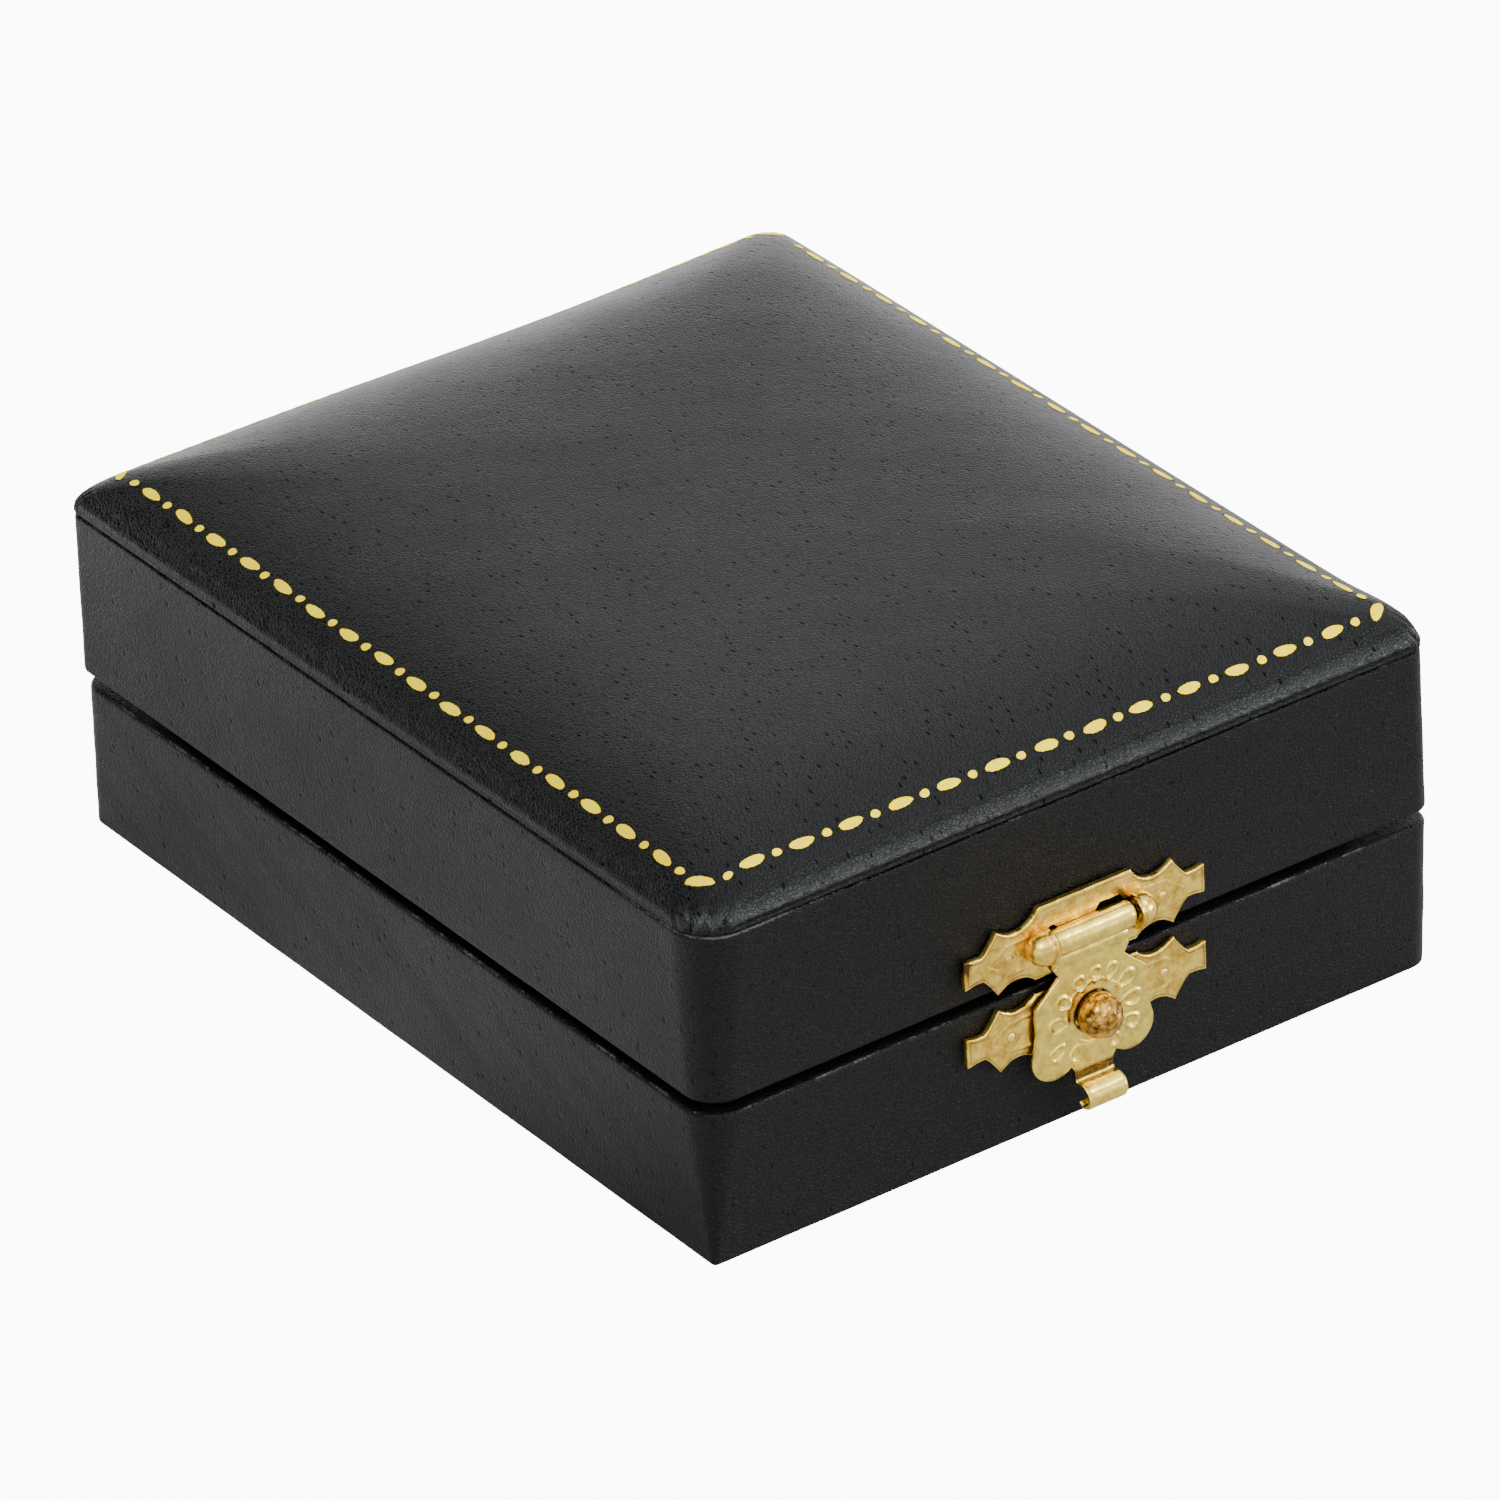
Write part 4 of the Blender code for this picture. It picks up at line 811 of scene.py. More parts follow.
def make_border():
    """Each mark is a thin lens on the padded top: rings of an oval carried onto its surface."""
    spots = border_marks()
    count = len(spots)
    spots[:, :2] += rng.normal(0, 0.05 * MM, (count, 2))
    spots[:, 2] += rng.normal(0, 2.5, count)
    spots[:, 3:] *= rng.uniform(0.94, 1.06, (count, 2))
    reach = np.array([0.0, 0.5, 0.86, 0.97, 1.10, 1.12, 0.0])
    lift = np.array([0.022, 0.024, 0.028, 0.030, 0.008, -0.10, -0.14]) * MM
    rim = np.array([0.0, 0.0, 0.0, 0.12, 0.6, 1.0, 1.0])
    around = np.linspace(0, 2 * math.pi, 18, endpoint=False)
    wobble = 1 + 0.04 * np.sin(3 * around[None, None, :] + spots[:, :1, None] * 9000)
    long = reach[None, :, None] * np.cos(around)[None, None, :] * spots[:, 3, None, None] * wobble
    wide = reach[None, :, None] * np.sin(around)[None, None, :] * spots[:, 4, None, None] * wobble
    turn = np.radians(spots[:, 2])[:, None, None]
    x = spots[:, 0, None, None] + long * np.cos(turn) - wide * np.sin(turn)
    y = spots[:, 1, None, None] + long * np.sin(turn) + wide * np.cos(turn)
    z = top_height(x, y) + lift[None, :, None]
    points = np.stack([x, y, z], -1)
    one = grid_quads(len(reach), len(around), wrap_columns=True)
    size = len(reach) * len(around)
    quads = (one[None] + size * np.arange(count)[:, None, None]).reshape(-1, 4)
    marks = np.broadcast_to(rim[None, :, None], z.shape).reshape(-1)
    make_piece("foil_border", (points.reshape(-1, 3), quads, marks), FOIL, "lid", (), 70)


# ---------------------------------------------------------------- clasp

def to_front(x, stand, z):
    """Points from (x from the clasp's middle, stand out of the front, height)."""
    return np.stack([CLASP_X + x, FRONT_Y - stand, z + 0 * x], -1)


def edge_roll(distance, reach=0.22 * MM, drop=0.10 * MM):
    """How far a stamped edge turns back: a quarter round over the last stretch to the edge."""
    share = np.clip(1 - distance / reach, 0, 1)
    return drop * (1 - np.sqrt(np.maximum(1 - share ** 2, 0)))


def wing_half(across, centre_half):
    """Half height of a plate at a distance from its middle: a blunt tip, a concave rise to the
    cusp, a parabola's hollow, then the centre."""
    tip_end, cusp, hollow, centre = (10.7 * MM, 9.15 * MM, 7.2 * MM, 5.3 * MM)
    tip = 1.18 * MM + 0.16 * MM * smooth(across, 11.3 * MM, 12.3 * MM)
    share = np.clip((tip_end - across) / (tip_end - cusp), 0, 1)
    rise = mix(1.18 * MM, 3.05 * MM, share ** 1.25)
    scallop = 2.25 * MM + 0.82 * MM * ((across - hollow) / (cusp - hollow)) ** 2
    middle = mix(centre_half, WING_CENTRE_HALF, smooth(across, 4.75 * MM, centre))
    return np.select([across > tip_end, across > cusp, across > centre], [tip, rise, scallop], middle)


def segment_distance(x, z, start, end):
    """Distance from each (x, z) to the straight stretch between two points."""
    run = np.array(end) - np.array(start)
    share = np.clip(((x - start[0]) * run[0] + (z - start[1]) * run[1]) / (run @ run), 0, 1)
    return np.hypot(x - start[0] - share * run[0], z - start[1] - share * run[1])


def wing_relief(across, z):
    """Pressed pattern on a wing: a raised line in the shape of a house on its side, pointing
    outwards, with a ring round the nail inside it."""
    corners = np.array([(5.9, 1.45), (8.25, 1.35), (10.15, 0.0), (8.25, -1.35), (5.9, -1.45)]) * MM
    stretches = [segment_distance(across, z, a, b) for a, b in zip(corners, corners[1:])]
    ridge = hump(np.min(stretches, 0), 0.15 * MM)
    ring = hump(np.hypot(across - NAIL_X, z) - 0.62 * MM, 0.14 * MM)
    bowl = hump(np.hypot(across - NAIL_X, z), 1.3 * MM)
    return (0.09 * ridge + 0.07 * ring + 0.05 * bowl) * MM, ridge


def plate_columns():
    """Places across a plate, closer together where its outline turns."""
    knots = np.array([0, 3.6, 4.25, 4.75, 5.3, 7.2, 9.15, 10.7, 12.5]) * MM
    steps = (22, 8, 6, 7, 22, 24, 18, 20)
    half = np.concatenate([np.linspace(a, b, n, endpoint=False) for a, b, n in zip(knots, knots[1:], steps)])
    half = np.append(half, PLATE_HALF)
    return np.concatenate([-half[:0:-1], half])


def plate_sheet(middle_z, top_half, window=None):
    """A stamped plate: heights between its lower and upper outline at each place across, with
    the wings pressed in relief; the window's quads are left out."""
    x = plate_columns()[None, :]
    across = np.abs(x)
    top = wing_half(across, top_half)
    bottom = -wing_half(across, WING_CENTRE_HALF)
    lines = 44
    share = np.linspace(0, 1, lines + 1)[:, None]
    rel_z = mix(bottom, top, share)
    keep = None
    if window:
        half, low, high = window
        notch = smooth(x, 0.9 * MM, 1.5 * MM) * (1 - smooth(x, 3.5 * MM, 4.1 * MM))
        notch = notch + 0.55 * smooth(-x, 2.9 * MM, 3.3 * MM) * (1 - smooth(-x, 3.7 * MM, 4.1 * MM))
        high = high + 0.62 * MM * notch
        first, last = 13, 31
        held = 1 - smooth(across, half + 0.2 * MM, 6.8 * MM)
        low_line = mix(mix(bottom, top, first / lines), low, held)
        high_line = mix(mix(bottom, top, last / lines), high, held)
        number = np.arange(lines + 1)[:, None]
        lower = mix(bottom, low_line, number / first)
        inside = mix(low_line, high_line, (number - first) / (last - first))
        upper = mix(high_line, top, (number - last) / (lines - last))
        rel_z = np.where(number <= first, lower, np.where(number <= last, inside, upper))
        centre = (across[:, 1:] + across[:, :-1]) / 2
        row = np.arange(lines)[:, None]
        keep = ~((row >= first) & (row < last) & (centre < half))
    reach = np.minimum(np.minimum(top - rel_z, rel_z - bottom), PLATE_HALF - across)
    relief, ridge = wing_relief(across, rel_z)
    wave = 0.03 * MM * ripple(x + 0.5 * rel_z, (5.1 * MM, 2.9 * MM, 1.7 * MM), 41)
    stand = SHEET_BACK + SHEET + relief - edge_roll(reach) + wave
    front = to_front(x + 0 * rel_z, stand, middle_z + rel_z)
    back = to_front(x + 0 * rel_z, SHEET_BACK + 0.5 * relief - edge_roll(reach), middle_z + rel_z)
    dirt = 0.42 * hump(ridge - 0.45, 0.22) + 0.55 * hump(reach - 0.30 * MM, 0.09 * MM)
    dirt += 0.4 * hump(np.hypot(across - NAIL_X, rel_z) - 0.42 * MM, 0.1 * MM)
    tarnish = 0.8 * smooth(-x, 11.5 * MM, 12.3 * MM) * smooth(rel_z, -0.5 * MM, 0.8 * MM)
    tarnish = tarnish * (middle_z > STRIKE_Z + MM)
    return sheet_body(front, back, dirt + tarnish, keep)


def knuckle(side):
    """Domed barrel end pressed in the plate: radius R (1 - t^2.6)^(1/2.2) along the pin."""
    start, end = 4.31 * MM, 6.55 * MM
    radius = 1.55 * MM
    share = np.linspace(0, 1, 22)
    domed = radius * (1 - share ** 2.6) ** (1 / 2.2)
    lip = 1 + 0.06 * hump(share - 0.02, 0.05) - 0.03 * hump(share - 0.16, 0.06)
    mouth = start + 0.5 * MM
    profile = [(mouth, 0.0), (mouth, 0.8 * MM), (start, 0.85 * MM), (start, 0.9 * radius)]
    profile += list(zip(start + 0.04 * MM + share * (end - start), domed * lip))
    dirt = np.concatenate([[1, 1, 0.7, 0.4], 0.35 * hump(share - 0.16, 0.08)])
    points, quads, marks = turned(profile, (CLASP_X, PIN_LINE.y, PIN_LINE.z), (side, 0, 0), 40, dirt)
    points[:, 1] = np.minimum(points[:, 1], FRONT_Y - SHEET_BACK - 0.5 * SHEET)
    return points, quads, marks


def nail_head(x, z, stand, radius=0.42 * MM, height=0.16 * MM):
    """A low dome on the plate."""
    angle = np.radians(np.linspace(0, 90, 6))
    profile = [(-0.5 * SHEET, 0.0), (-0.5 * SHEET, radius)]
    profile += list(zip(height * np.sin(angle), radius * np.cos(angle)))
    return turned(profile, (CLASP_X + x, FRONT_Y - stand, z), (0, -1, 0), 20)


def make_plates():
    """Both stamped plates with their nail heads; the knob on the lower one is made by make_knob."""
    pin_up = PIN_LINE.z - CLASP_Z
    window = (NECK_HALF + 0.3 * MM, pin_up - 1.5 * MM, pin_up + 1.0 * MM)
    upper = plate_sheet(CLASP_Z, UPPER_CENTRE_HALF, window)
    clasp = join_parts([upper, knuckle(-1), knuckle(1)])
    make_piece("clasp_upper_plate", clasp, PLATE_BRASS, "lid", ["clasp_plate"], 50)
    lower = plate_sheet(STRIKE_Z, WING_CENTRE_HALF)
    make_piece("clasp_lower_plate", lower, PLATE_BRASS, "base", ["strike_plate"], 50)
    stand = SHEET_BACK + SHEET + 0.03 * MM
    for middle, word, body in ((CLASP_Z, "clasp", "lid"), (STRIKE_Z, "strike", "base")):
        for sign, side in ((-1, "left"), (1, "right")):
            part = nail_head(sign * NAIL_X, middle, stand)
            nail = f"{word}_nail_{side}"
            make_piece(f"{word}_{side}_nail_head", part, NAIL_BRASS, body, [nail])


def make_knob():
    """Riveted knob: a ball on a short neck, lightly lumpy, with dirt round its foot."""
    centre = FRONT_Y - KNOB_LOW.y - KNOB_RADIUS
    angle = np.radians(np.linspace(42, 180, 34))
    profile = [(SHEET_BACK, 0.0), (SHEET_BACK, 1.15 * MM), (SHEET_BACK + SHEET + 0.3 * MM, 1.15 * MM)]
    profile += list(zip(centre - KNOB_RADIUS * np.cos(angle), KNOB_RADIUS * np.sin(angle)))
    dirt = np.concatenate([[0.8, 0.8, 0.8], 0.8 * hump(np.degrees(angle) - 42, 30)])
    points, quads, marks = turned(profile, (CLASP_X, FRONT_Y, KNOB_Z), (0, -1, 0), 56, dirt)
    middle = np.array((CLASP_X, FRONT_Y - centre, KNOB_Z))
    off = points - middle
    lump = ripple(off[:, 0] + off[:, 2], (2.1 * MM, 1.3 * MM), 51)
    lump = 0.022 * (lump + ripple(off[:, 2] - off[:, 0], (1.7 * MM, 0.9 * MM), 52))
    points = middle + off * (1 + lump[:, None] * smooth(-off[:, 1], -0.5 * MM, 0.5 * MM)[:, None])
    make_piece("knob", (points, quads, marks), KNOB_BRASS_PAINTED_DARK, "base", ["strike_knob"], 70)


def hasp_half_outline():
    """Right half of the flower plate about the knob, anticlockwise from its foot: tail, notch,
    round lobe, side, shoulder, waist, neck."""
    lobe = np.radians(np.linspace(-118, 8, 16))
    lobe_points = np.stack([4.0 + 2.35 * np.cos(lobe), -3.05 + 2.3 * np.sin(lobe)], -1)
    foot = np.array([(0.0, -5.75), (2.0, -5.75), (2.02, -5.3), (2.35, -4.75)])
    upper = np.array([(6.0, -1.5), (5.82, -0.4), (5.9, 1.2), (5.85, 2.15), (5.2, 2.75), (3.75, 4.05),
                      (3.42, 4.35), (3.5, 4.7), (3.93, 5.15), (3.95, 5.4), (0.0, 5.4)])
    return np.concatenate([foot, lobe_points, upper]) * MM


def outline_reach(angles, outline):
    """Distance from the middle to a star-shaped outline at each angle: where the ray crosses
    the stretch that spans it."""
    corner_angles = np.unwrap(np.arctan2(outline[:, 1], outline[:, 0]))
    index = np.clip(np.searchsorted(corner_angles, angles, side="right") - 1, 0, len(outline) - 2)
    start, end = outline[index], outline[index + 1]
    run = end - start
    ray = np.stack([np.cos(angles), np.sin(angles)], -1)
    crossing = start[:, 0] * run[:, 1] - start[:, 1] * run[:, 0]
    return crossing / (ray[:, 0] * run[:, 1] - ray[:, 1] * run[:, 0])


# Each petal: middle across and up from the knob, half width, half length, in millimetres
PETALS = ((0.35, 3.4, 0.46, 0.62), (1.95, 3.1, 0.46, 0.68), (3.45, 1.75, 0.55, 0.85),
          (4.0, -0.35, 0.60, 0.90), (3.9, -2.5, 0.55, 0.78), (2.1, -3.6, 0.48, 0.62),
          (-1.3, 3.0, 0.50, 0.66), (-3.0, 1.8, 0.52, 0.75), (-3.65, -0.15, 0.58, 0.85),
          (-3.8, -2.75, 0.52, 0.78), (-1.9, -3.5, 0.48, 0.70))


def petal_relief(x, z):
    """Pressed petals: each a hollow oval, longer along its own ray from the knob, inside a
    raised line; a low raised ring of arcs runs just outside the eye."""
    relief = np.zeros_like(x)
    line_mark = np.zeros_like(x)
    for px, pz, wide, long in PETALS:
        px, pz, wide, long = (value * MM for value in (px, pz, wide, long))
        far = math.hypot(px, pz)
        along = ((x - px) * px + (z - pz) * pz) / far
        across = ((x - px) * pz - (z - pz) * px) / far
        taper = 1 + 0.25 * along / long
        oval = np.hypot(along / long, across / (wide * taper))
        relief += 0.16 * hump(oval - 1.08, 0.24) - 0.06 * (1 - smooth(oval, 0.3, 0.95))
        line_mark = np.maximum(line_mark, hump(oval - 0.72, 0.20))
        line_mark = np.maximum(line_mark, 0.7 * hump(oval - 1.5, 0.22))
    radius = np.hypot(x, z)
    angle = np.arctan2(z, x)
    scallops = 2.75 * MM + 0.22 * MM * np.abs(np.sin(3 * angle + 0.4))
    relief += 0.10 * hump(radius - scallops, 0.16 * MM)
    relief += 0.05 * hump(radius - EYE_RADIUS - 0.12 * MM, 0.15 * MM)
    return relief * MM, line_mark


def make_flower():
    """Flower plate: rays from the eye to the star-shaped outline, pressed with petals."""
    right = hasp_half_outline()
    left = right[::-1] * np.array([-1, 1])
    outline = np.concatenate([right, left[1:]])
    corner_angles = np.unwrap(np.arctan2(outline[:, 1], outline[:, 0]))
    even = np.linspace(corner_angles[0], corner_angles[0] + 2 * math.pi, 300, endpoint=False)
    angles = np.unique(np.concatenate([even, corner_angles[:-1]]).round(6))
    angles = angles[np.concatenate([[True], np.diff(angles) > 0.004])]
    reach = outline_reach(angles, outline)
    share = np.linspace(0, 1, 46) ** 0.85
    radius = mix(EYE_RADIUS, reach[None, :], share[:, None])
    x = radius * np.cos(angles)
    z = radius * np.sin(angles)
    relief, line_mark = petal_relief(x, z)
    edge = (1 - share[:, None]) * (reach - EYE_RADIUS)[None, :]
    inner = share[:, None] * (reach - EYE_RADIUS)[None, :]
    open_side = 1 - smooth(z, 4.6 * MM, 5.0 * MM) * (np.abs(x) < 3.7 * MM)
    roll = edge_roll(edge, 0.2 * MM, 0.12 * MM) * open_side
    bend = 0.04 * MM * ripple(x + 0.7 * z, (6.1 * MM, 3.7 * MM, 2.3 * MM), 61)
    fade = smooth(edge, 0, 0.5 * MM)
    stand = HASP_STAND + HASP_SHEET / 2 + (relief + bend) * fade - roll
    front = to_front(x, stand, KNOB_Z + z)
    back = to_front(x, HASP_STAND - HASP_SHEET / 2 + 0.5 * relief * fade + 0.3 * roll, KNOB_Z + z)
    dirt = 0.34 * line_mark + 0.75 * hump(inner, 0.18 * MM)
    # The first term, a band at the tail's foot where the sheet bends out into the tab, is painted shade in
    # the brown dirt colour.
    dirt += 0.75 * hump(z + 5.55 * MM, 0.42 * MM) + 0.18 * hump(edge - 0.25 * MM, 0.1 * MM)
    return sheet_body(front, back, dirt, wrap=True)


def smooth_path(knots, steps):
    """A smooth curve through (stand, height) knots: Catmull-Rom pieces of equal step count."""
    knots = np.array(knots)
    padded = np.concatenate([[2 * knots[0] - knots[1]], knots, [2 * knots[-1] - knots[-2]]])
    share = np.linspace(0, 1, steps, endpoint=False)[:, None]
    pieces = []
    for a, b, c, d in zip(padded, padded[1:], padded[2:], padded[3:]):
        pieces.append(0.5 * (2 * b + (c - a) * share + (2 * a - 5 * b + 4 * c - d) * share ** 2
                             + (3 * b - a - 3 * c + d) * share ** 3))
    return np.concatenate([*pieces, knots[-1:]])


def strip(path, half_width, dirt, seed):
    """A strip of sheet along (stand, height) points: offset half the sheet to either side."""
    run = np.gradient(path, axis=0)
    run /= np.linalg.norm(run, axis=1)[:, None]
    side = np.stack([run[:, 1], -run[:, 0]], -1) * HASP_SHEET / 2
    x = np.linspace(-1, 1, 25)[None, :] * half_width
    edge = edge_roll(half_width - np.abs(x), 0.18 * MM, 0.09 * MM)
    length = np.cumsum(np.linalg.norm(np.gradient(path, axis=0), axis=1))[:, None]
    dent = 0.012 * MM * ripple(x + 0.4 * length, (2.7 * MM, 1.5 * MM, 0.8 * MM), seed)
    faces = []
    for sign in (1, -1):
        depth = (1 - (edge + dent) / (HASP_SHEET / 2)) * sign
        stand = path[:, :1] + side[:, :1] * depth
        height = path[:, 1:] + side[:, 1:] * depth
        faces.append(to_front(x + 0 * stand, stand, height))
    # The marks take the brown colour of dirt; on the hasp they also paint shade, at the roll's free end and
    # in the tab's crease.
    marks = np.broadcast_to(dirt[:, None], faces[0].shape[:2])
    return sheet_body(faces[1], faces[0], marks)


def make_hasp():
    """Barrel rolled round the pin, neck, flower plate and curled finger tab, as one piece."""
    angle = np.radians(np.linspace(-58, 222, 56))
    barrel = ROLL_RADIUS * np.stack([np.cos(angle), np.sin(angle)], -1) + (PIN_STAND, PIN_LINE.z)
    top = KNOB_Z + 5.4 * MM
    neck = smooth_path([barrel[-1], (HASP_STAND - 0.38 * MM, PIN_LINE.z - 1.35 * MM),
                        (HASP_STAND - 0.08 * MM, PIN_LINE.z - 1.95 * MM), (HASP_STAND, top)], 7)
    roll = np.concatenate([barrel[:-1], neck])
    # A dark brown line fades in at the roll's free end, where it meets the plate: painted shadow. The lower
    # neck is tinted a little brown.
    fade = np.concatenate([np.linspace(0.85, 0, 8), np.zeros(len(roll) - 8)])
    fade[-10:] = 0.25
    foot = KNOB_Z - 5.75 * MM
    curl = np.array([(0.0, 0.05), (0.10, -0.42), (0.45, -0.68), (1.15, -0.66), (1.78, -1.02),
                     (2.02, -1.68), (1.78, -2.34), (1.15, -2.62), (0.62, -2.38)]) * MM
    tab = smooth_path(curl + (HASP_STAND, foot), 6)
    # The tab's crease and the start of its shelf are painted dark brown: painted shade in the bend.
    tab_crease_painted_shade = 0.8 * hump(np.arange(len(tab)) - 3.0, 6.0)
    parts = [make_flower(), strip(roll, NECK_HALF, fade, 71), strip(tab, 2.0 * MM, tab_crease_painted_shade, 72)]
    make_piece("hasp_plate", join_parts(parts), HASP_BRASS, "hasp", ["hasp"], 50)


# ---------------------------------------------------------------- inside

def make_lip():
    """Flocked card band inside the rim: walls with a rounded top edge."""
    half_x, half_y = LIP_HIGH.x, LIP_HIGH.y
    wall = 1.0 * MM
    top, low = LIP_HIGH.z, LIP_LOW.z
    soft = 0.42 * MM
    profile = np.concatenate([
        line((0, low), (0, top - soft), 12),
        arc(soft, top - soft, soft, 0, 90, 6),
        line((wall - soft, top), (wall - 0.5 * soft, top), 2),
        arc(wall - soft, top - soft, soft, 88, 180, 6),
        line((wall, top - 1.3 * soft), (wall, low), 10),
    ])
    columns = outline_columns(8, 90, 110)
    inset, z = profile.T
    radii = np.full((len(inset), 4), 1.2 * MM)
    flat = outlines(columns, half_x - inset, half_y - inset, radii)
    points = np.concatenate([flat, np.broadcast_to(z[:, None, None], (*flat.shape[:2], 1))], -1)
    quads = grid_quads(len(profile), points.shape[1], wrap_rows=True, wrap_columns=True)
    part = (points.reshape(-1, 3), quads, np.zeros(points[..., 0].size))
    make_piece("flocked_lip", part, FLOCK, "base", ["base_lip"], 60)


SIM_SCALE = 10.0


def swell(pad, cap, pinned, pressure=4.0):
    """Blow a pad up as cloth, at ten times its size so that the solver's steps suit it. Points
    for which pinned is true stay; no point moves further than cap."""
    rest = np.empty(len(pad.data.vertices) * 3)
    pad.data.vertices.foreach_get("co", rest)
    rest = rest.reshape(-1, 3)
    pad.data.vertices.foreach_set("co", (rest * SIM_SCALE).ravel())
    group = pad.vertex_groups.new(name="held")
    group.add(np.nonzero(pinned(rest))[0].tolist(), 1.0, "REPLACE")
    cloth = pad.modifiers.new("cloth", "CLOTH")
    cloth.settings.use_pressure = True
    cloth.settings.uniform_pressure_force = pressure
    cloth.settings.vertex_group_mass = "held"
    cloth.settings.effector_weights.gravity = 0.0
    scene = bpy.context.scene
    for number in range(1, 21):
        scene.frame_set(number)
    seen = pad.evaluated_get(bpy.context.evaluated_depsgraph_get())
    grown = np.empty(len(rest) * 3)
    seen.data.vertices.foreach_get("co", grown)
    pad.modifiers.remove(cloth)
    pad.vertex_groups.clear()
    scene.frame_set(1)
    move = grown.reshape(-1, 3) / SIM_SCALE - rest
    far = np.maximum(np.linalg.norm(move, axis=1), 1e-9)[:, None]
    moved = rest + move * np.minimum(far, cap) / far
    pad.data.vertices.foreach_set("co", moved.ravel())


def pad_block(low, high, radius, edge):
    """A plain pillow to start a pad from: a block with round corners and edges, remeshed."""
    half_x, half_y = high.x, high.y
    turn = arc(edge, high.z - low.z - edge, edge, 0, 90, 6)
    profile = np.concatenate([[[half_x, 0]], [[0, 0]], turn, [[half_x, high.z - low.z]]])
    inset = profile[:, 0]
    radii = np.full((len(inset), 4), radius)
    radii = np.minimum(radii, np.maximum(0.97 * (half_x - inset), 0)[:, None])
    flat = outlines(outline_columns(6, 20, 24), half_x - inset, half_y - inset, radii)
    height = np.broadcast_to((low.z + profile[:, 1])[:, None, None], (*flat.shape[:2], 1))
    points = np.concatenate([flat, height], -1)
    quads = grid_quads(*points.shape[:2], wrap_columns=True)
    return points.reshape(-1, 3), quads, np.zeros(points[..., 0].size)


def make_pad(name, box, finish, body, stands_for, edge, cap, held_below, dents, flip=False):
    """A padded piece: pillow, remeshed, swollen as cloth, made finer, then pressed by dents."""
    low, high = box
    part = pad_block(low, high, 1.6 * MM, edge)
    if flip:
        part[0][:, 2] = low.z + high.z - part[0][:, 2]
    pad = make_piece(name, part, finish, body, stands_for, 180)
    mesher = pad.modifiers.new("even", "REMESH")
    mesher.mode = "VOXEL"
    mesher.voxel_size = 0.8 * MM
    mesher.use_smooth_shade = True
    settle(pad)
    swell(pad, cap, lambda rest: held_below(rest[:, 2]))
    finer = pad.modifiers.new("finer", "SUBSURF")
    finer.levels = 1
    finer.render_levels = 1
    settle(pad)
    points = np.empty(len(pad.data.vertices) * 3)
    pad.data.vertices.foreach_get("co", points)
    points = points.reshape(-1, 3)
    points[:, 2] += dents(points)
    points[:, 2] = np.clip(points[:, 2], low.z - 0.6 * MM * flip, high.z + 0.6 * MM * (not flip))
    pad.data.vertices.foreach_set("co", points.ravel())
    pad.data.update()
    return pad


def settle(piece):
    """Apply a piece's modifiers to its mesh."""
    seen = piece.evaluated_get(bpy.context.evaluated_depsgraph_get())
    made = bpy.data.meshes.new_from_object(seen)
    made.name = piece.name
    piece.modifiers.clear()
    piece.data = made
    made.shade_smooth()


# Slits in the velvet pad: middle across, middle along, length
SLITS = ((0, 8 * MM, 24 * MM), (-22 * MM, -24 * MM, 7 * MM), (22 * MM, -24 * MM, 7 * MM))


def slot_dents(points):
    """Slits in the velvet pad: a narrow trough along each, under two soft lips."""
    x, y, z = points.T
    top = smooth(z, PAD_LOW.z + 1.2 * MM, PAD_LOW.z + 2.4 * MM)
    total = np.zeros_like(x)
    for middle_x, middle_y, length in SLITS:
        inside = 1 - smooth(np.abs(x - middle_x), length / 2 - 0.8 * MM, length / 2 + 0.4 * MM)
        trough = 2.1 * MM * hump(y - middle_y, 0.55 * MM) + 0.35 * MM * hump(y - middle_y, 2.2 * MM)
        total -= inside * trough
    return total * top


def tuck_dents(points):
    """Satin lining: soft folds that start at the border and die out towards the middle."""
    x, y, z = points.T
    low = 1 - smooth(z, LINING_LOW.z + 2.5 * MM, LINING_LOW.z + 5.5 * MM)
    side = np.minimum(LINING_HIGH.x - np.abs(x), LINING_HIGH.y - np.abs(y))
    round_x = ripple(x + 0.25 * y, (5.3 * MM, 3.1 * MM, 8.7 * MM), 81)
    round_y = ripple(y - 0.2 * x, (5.9 * MM, 3.4 * MM, 9.4 * MM), 82)
    share = smooth(LINING_HIGH.x - np.abs(x) - (LINING_HIGH.y - np.abs(y)), -4 * MM, 4 * MM)
    folds = mix(round_y, round_x, share)
    return 0.55 * MM * folds * hump(side - 2.5 * MM, 5 * MM) * low


def make_inside():
    """The flocked lip, the velvet pad with its slits and the satin lining of the lid."""
    make_lip()
    velvet_box = (PAD_LOW, PAD_HIGH - Vector((0, 0, 0.9 * MM)))
    make_pad("velvet_pad", velvet_box, VELVET, "base", ["insert_pad"],
             1.3 * MM, 1.0 * MM, lambda z: z < PAD_LOW.z + 0.9 * MM, slot_dents)
    satin_box = (LINING_LOW + Vector((0, 0, 1.6 * MM)), LINING_HIGH)
    make_pad("satin_lining", satin_box, SATIN, "lid", ["lid_lining_pad"],
             2.2 * MM, 1.6 * MM, lambda z: z > LINING_HIGH.z - 1.2 * MM, tuck_dents, True)


# ---------------------------------------------------------------- finishes on the model's own pieces

def finish_frame_pieces():
    """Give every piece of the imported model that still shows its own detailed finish."""
    finishes = {"base_tray": CARD, "lid_frame": CARD, "base_foot_sheet": PAPER, "insert_foam": FOAM,
                "lid_foam": FOAM, "clasp_pin": HASP_BRASS}
    for name, node in frame["nodes"].items():
        finish = finishes.get(name)
        if name.startswith("hinge_"):
            finish = NAIL_BRASS if "nail" in name else HINGE_BRASS
        if finish and not node.hide_render:
            node.data.materials.clear()
            node.data.materials.append(finish)


# ---------------------------------------------------------------- floor, light and camera

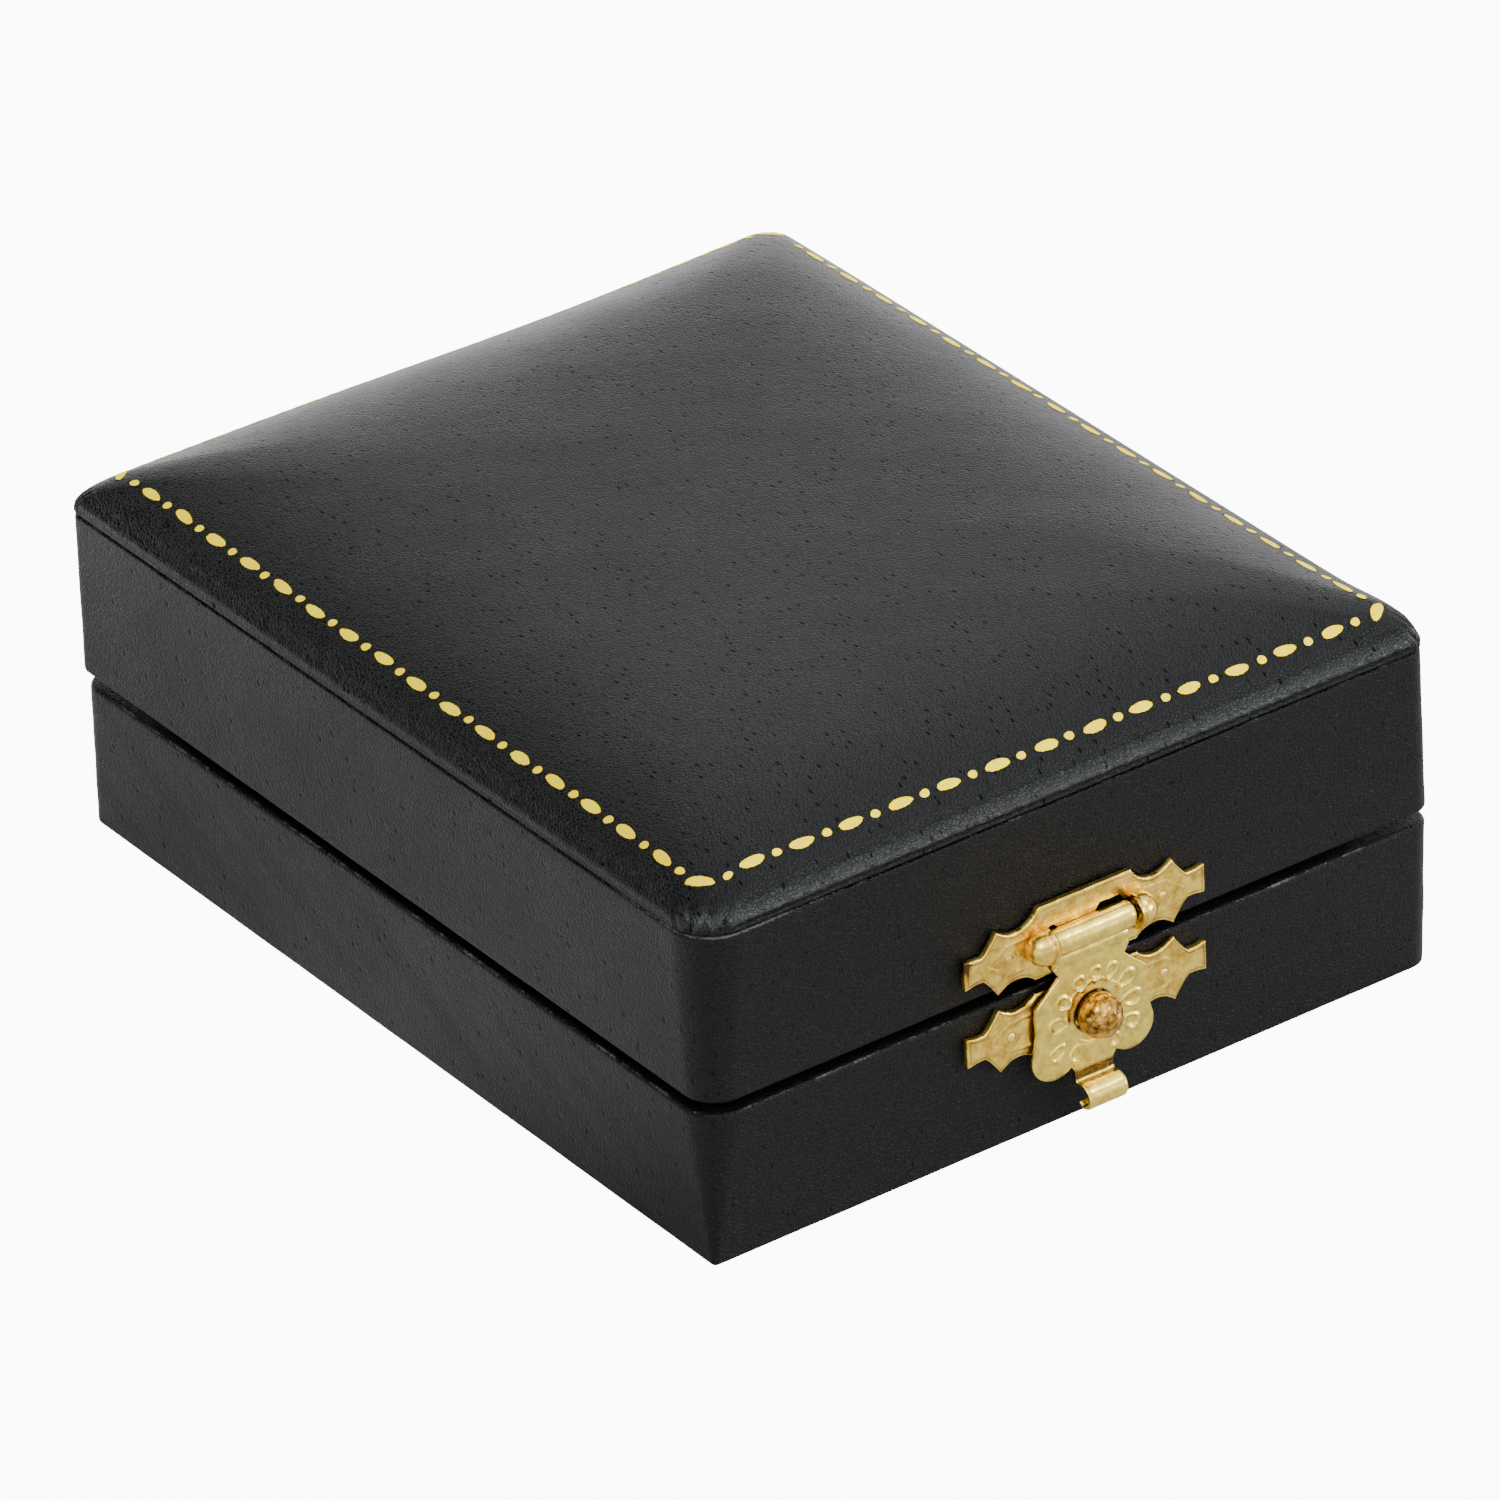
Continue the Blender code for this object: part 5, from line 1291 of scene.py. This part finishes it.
CAMERA_PLACE = Vector((-545.7, -787.4, 585.0)) * MM
CAMERA_TURN = (59.171, 2.142, -36.013)
CAMERA_LENS = 312.2
CAMERA_SENSOR = 36.0


def make_floor():
    """A wide floor that is plain white to look at. The light it sends to the box is graded: dim in
    front and on the right, brighter close by on the left, dimmer further out, brightest behind."""
    made, node, link = new_material("pale_floor")
    path = node("ShaderNodeLightPath")
    where = node("ShaderNodeTexCoord")
    parts = node("ShaderNodeSeparateXYZ")
    link(where.outputs["Object"], parts.inputs[0])
    lean = node("ShaderNodeMath", operation="MULTIPLY_ADD")
    lean.inputs[1].default_value = -0.35
    link(parts.outputs["X"], lean.inputs[0])
    link(parts.outputs["Y"], lean.inputs[2])
    shade = node("ShaderNodeMapRange", From_Min=-0.10, From_Max=0.12, To_Min=0.36, To_Max=0.5)
    shade.interpolation_type = "SMOOTHSTEP"
    link(lean.outputs[0], shade.inputs["Value"])
    plain = node("ShaderNodeBsdfDiffuse")
    link(shade.outputs["Result"], plain.inputs["Color"])
    side = node("ShaderNodeMath", operation="MULTIPLY_ADD")
    side.inputs[1].default_value = -0.9
    link(parts.outputs["X"], side.inputs[0])
    link(parts.outputs["Y"], side.inputs[2])
    spread = node("ShaderNodeMath", operation="MULTIPLY")
    spread.inputs[1].default_value = 3.0
    link(side.outputs[0], spread.inputs[0])
    lit = ramp(node, [(0.0, 0.13), (0.105, 0.52), (0.30, 0.22)])
    link(spread.outputs[0], lit.inputs["Fac"])
    behind = node("ShaderNodeMapRange", From_Min=0.088, From_Max=0.13, To_Min=0.0, To_Max=1.4)
    link(parts.outputs["Y"], behind.inputs["Value"])
    both = node("ShaderNodeMath", operation="ADD")
    link(lit.outputs["Color"], both.inputs[0])
    link(behind.outputs["Result"], both.inputs[1])
    bounce = node("ShaderNodeEmission", Strength=2.0)
    link(both.outputs[0], bounce.inputs["Color"])
    table = node("ShaderNodeAddShader")
    link(plain.outputs[0], table.inputs[0])
    link(bounce.outputs[0], table.inputs[1])
    white = node("ShaderNodeEmission", Color=(1.0, 1.0, 1.0, 1.0), Strength=13.5)
    blend = node("ShaderNodeMixShader")
    share = node("ShaderNodeMath", operation="MULTIPLY")
    share.inputs[1].default_value = 0.8
    link(path.outputs["Is Camera Ray"], share.inputs[0])
    link(share.outputs[0], blend.inputs["Fac"])
    link(table.outputs[0], blend.inputs[1])
    link(white.outputs[0], blend.inputs[2])
    link(blend.outputs[0], node("ShaderNodeOutputMaterial").inputs["Surface"])
    mesh = bpy.data.meshes.new("floor")
    half = 6.0
    corners = [(-half, -half, 0), (half, -half, 0), (half, half, 0), (-half, half, 0)]
    mesh.from_pydata(corners, [], [(0, 1, 2, 3)])
    mesh.materials.append(made)
    floor = bpy.data.objects.new("floor", mesh)
    floor.location.z = -0.02 * MM
    bpy.context.scene.collection.objects.link(floor)


def soft_light(name, place, aim, size, power):
    """A square lamp of the given size that looks from place to aim."""
    lamp = bpy.data.lights.new(name, "AREA")
    lamp.size = size
    lamp.energy = power
    holder = bpy.data.objects.new(name, lamp)
    holder.location = place
    holder.rotation_euler = (Vector(aim) - Vector(place)).to_track_quat("-Z", "Y").to_euler()
    bpy.context.scene.collection.objects.link(holder)


def make_world():
    """A room graded with height: grey at the horizon, dimmest a quarter of the way up, brightest
    halfway up, dimmer again overhead. A dark patch lies behind the box on the left."""
    world = bpy.data.worlds.new("room")
    bpy.context.scene.world = world
    world.use_nodes = True
    node, link = node_maker(world.node_tree)
    place = node("ShaderNodeTexCoord")
    facing = node("ShaderNodeVectorMath", operation="DOT_PRODUCT")
    facing.inputs[1].default_value = Vector((-0.62, 0.66, 0.42)).normalized()
    link(place.outputs["Generated"], facing.inputs[0])
    shade = node("ShaderNodeMapRange", From_Min=0.51, From_Max=0.82, To_Min=3.6, To_Max=0.05)
    shade.interpolation_type = "SMOOTHSTEP"
    link(facing.outputs["Value"], shade.inputs["Value"])
    parts = node("ShaderNodeSeparateXYZ")
    link(place.outputs["Generated"], parts.inputs[0])
    climb = ramp(node, [(0.1, 0.60), (0.28, 0.46), (0.46, 0.33),
                        (0.68, 0.82), (0.85, 0.85), (1.0, 0.4)], "EASE")
    link(parts.outputs["Z"], climb.inputs["Fac"])
    back = node("ShaderNodeBackground")
    link(climb.outputs["Color"], back.inputs["Color"])
    link(shade.outputs["Result"], back.inputs["Strength"])
    link(back.outputs[0], node("ShaderNodeOutputWorld").inputs["Surface"])


def make_studio():
    """Floor, room, three soft lamps and the camera."""
    make_floor()
    make_world()
    soft_light("key", (-0.55, -0.55, 0.95), (0, 0, 0.03), 0.16, 3.0)
    soft_light("low_right", (0.80, -0.65, 0.14), (0, 0, 0.02), 0.22, 3.5)
    soft_light("high_right", (0.45, -0.55, 0.70), (0, 0, 0.02), 0.10, 2.0)
    lens = bpy.data.cameras.new("camera")
    lens.lens = CAMERA_LENS
    lens.sensor_width = CAMERA_SENSOR
    lens.clip_end = 20.0
    camera = bpy.data.objects.new("camera", lens)
    camera.location = CAMERA_PLACE
    camera.rotation_euler = [math.radians(value) for value in CAMERA_TURN]
    bpy.context.scene.collection.objects.link(camera)
    bpy.context.scene.camera = camera


make_studio()
make_base_leather()
make_lid_side_leather()
make_top_leather()
make_border()
make_plates()
make_knob()
make_hasp()
make_inside()
finish_frame_pieces()
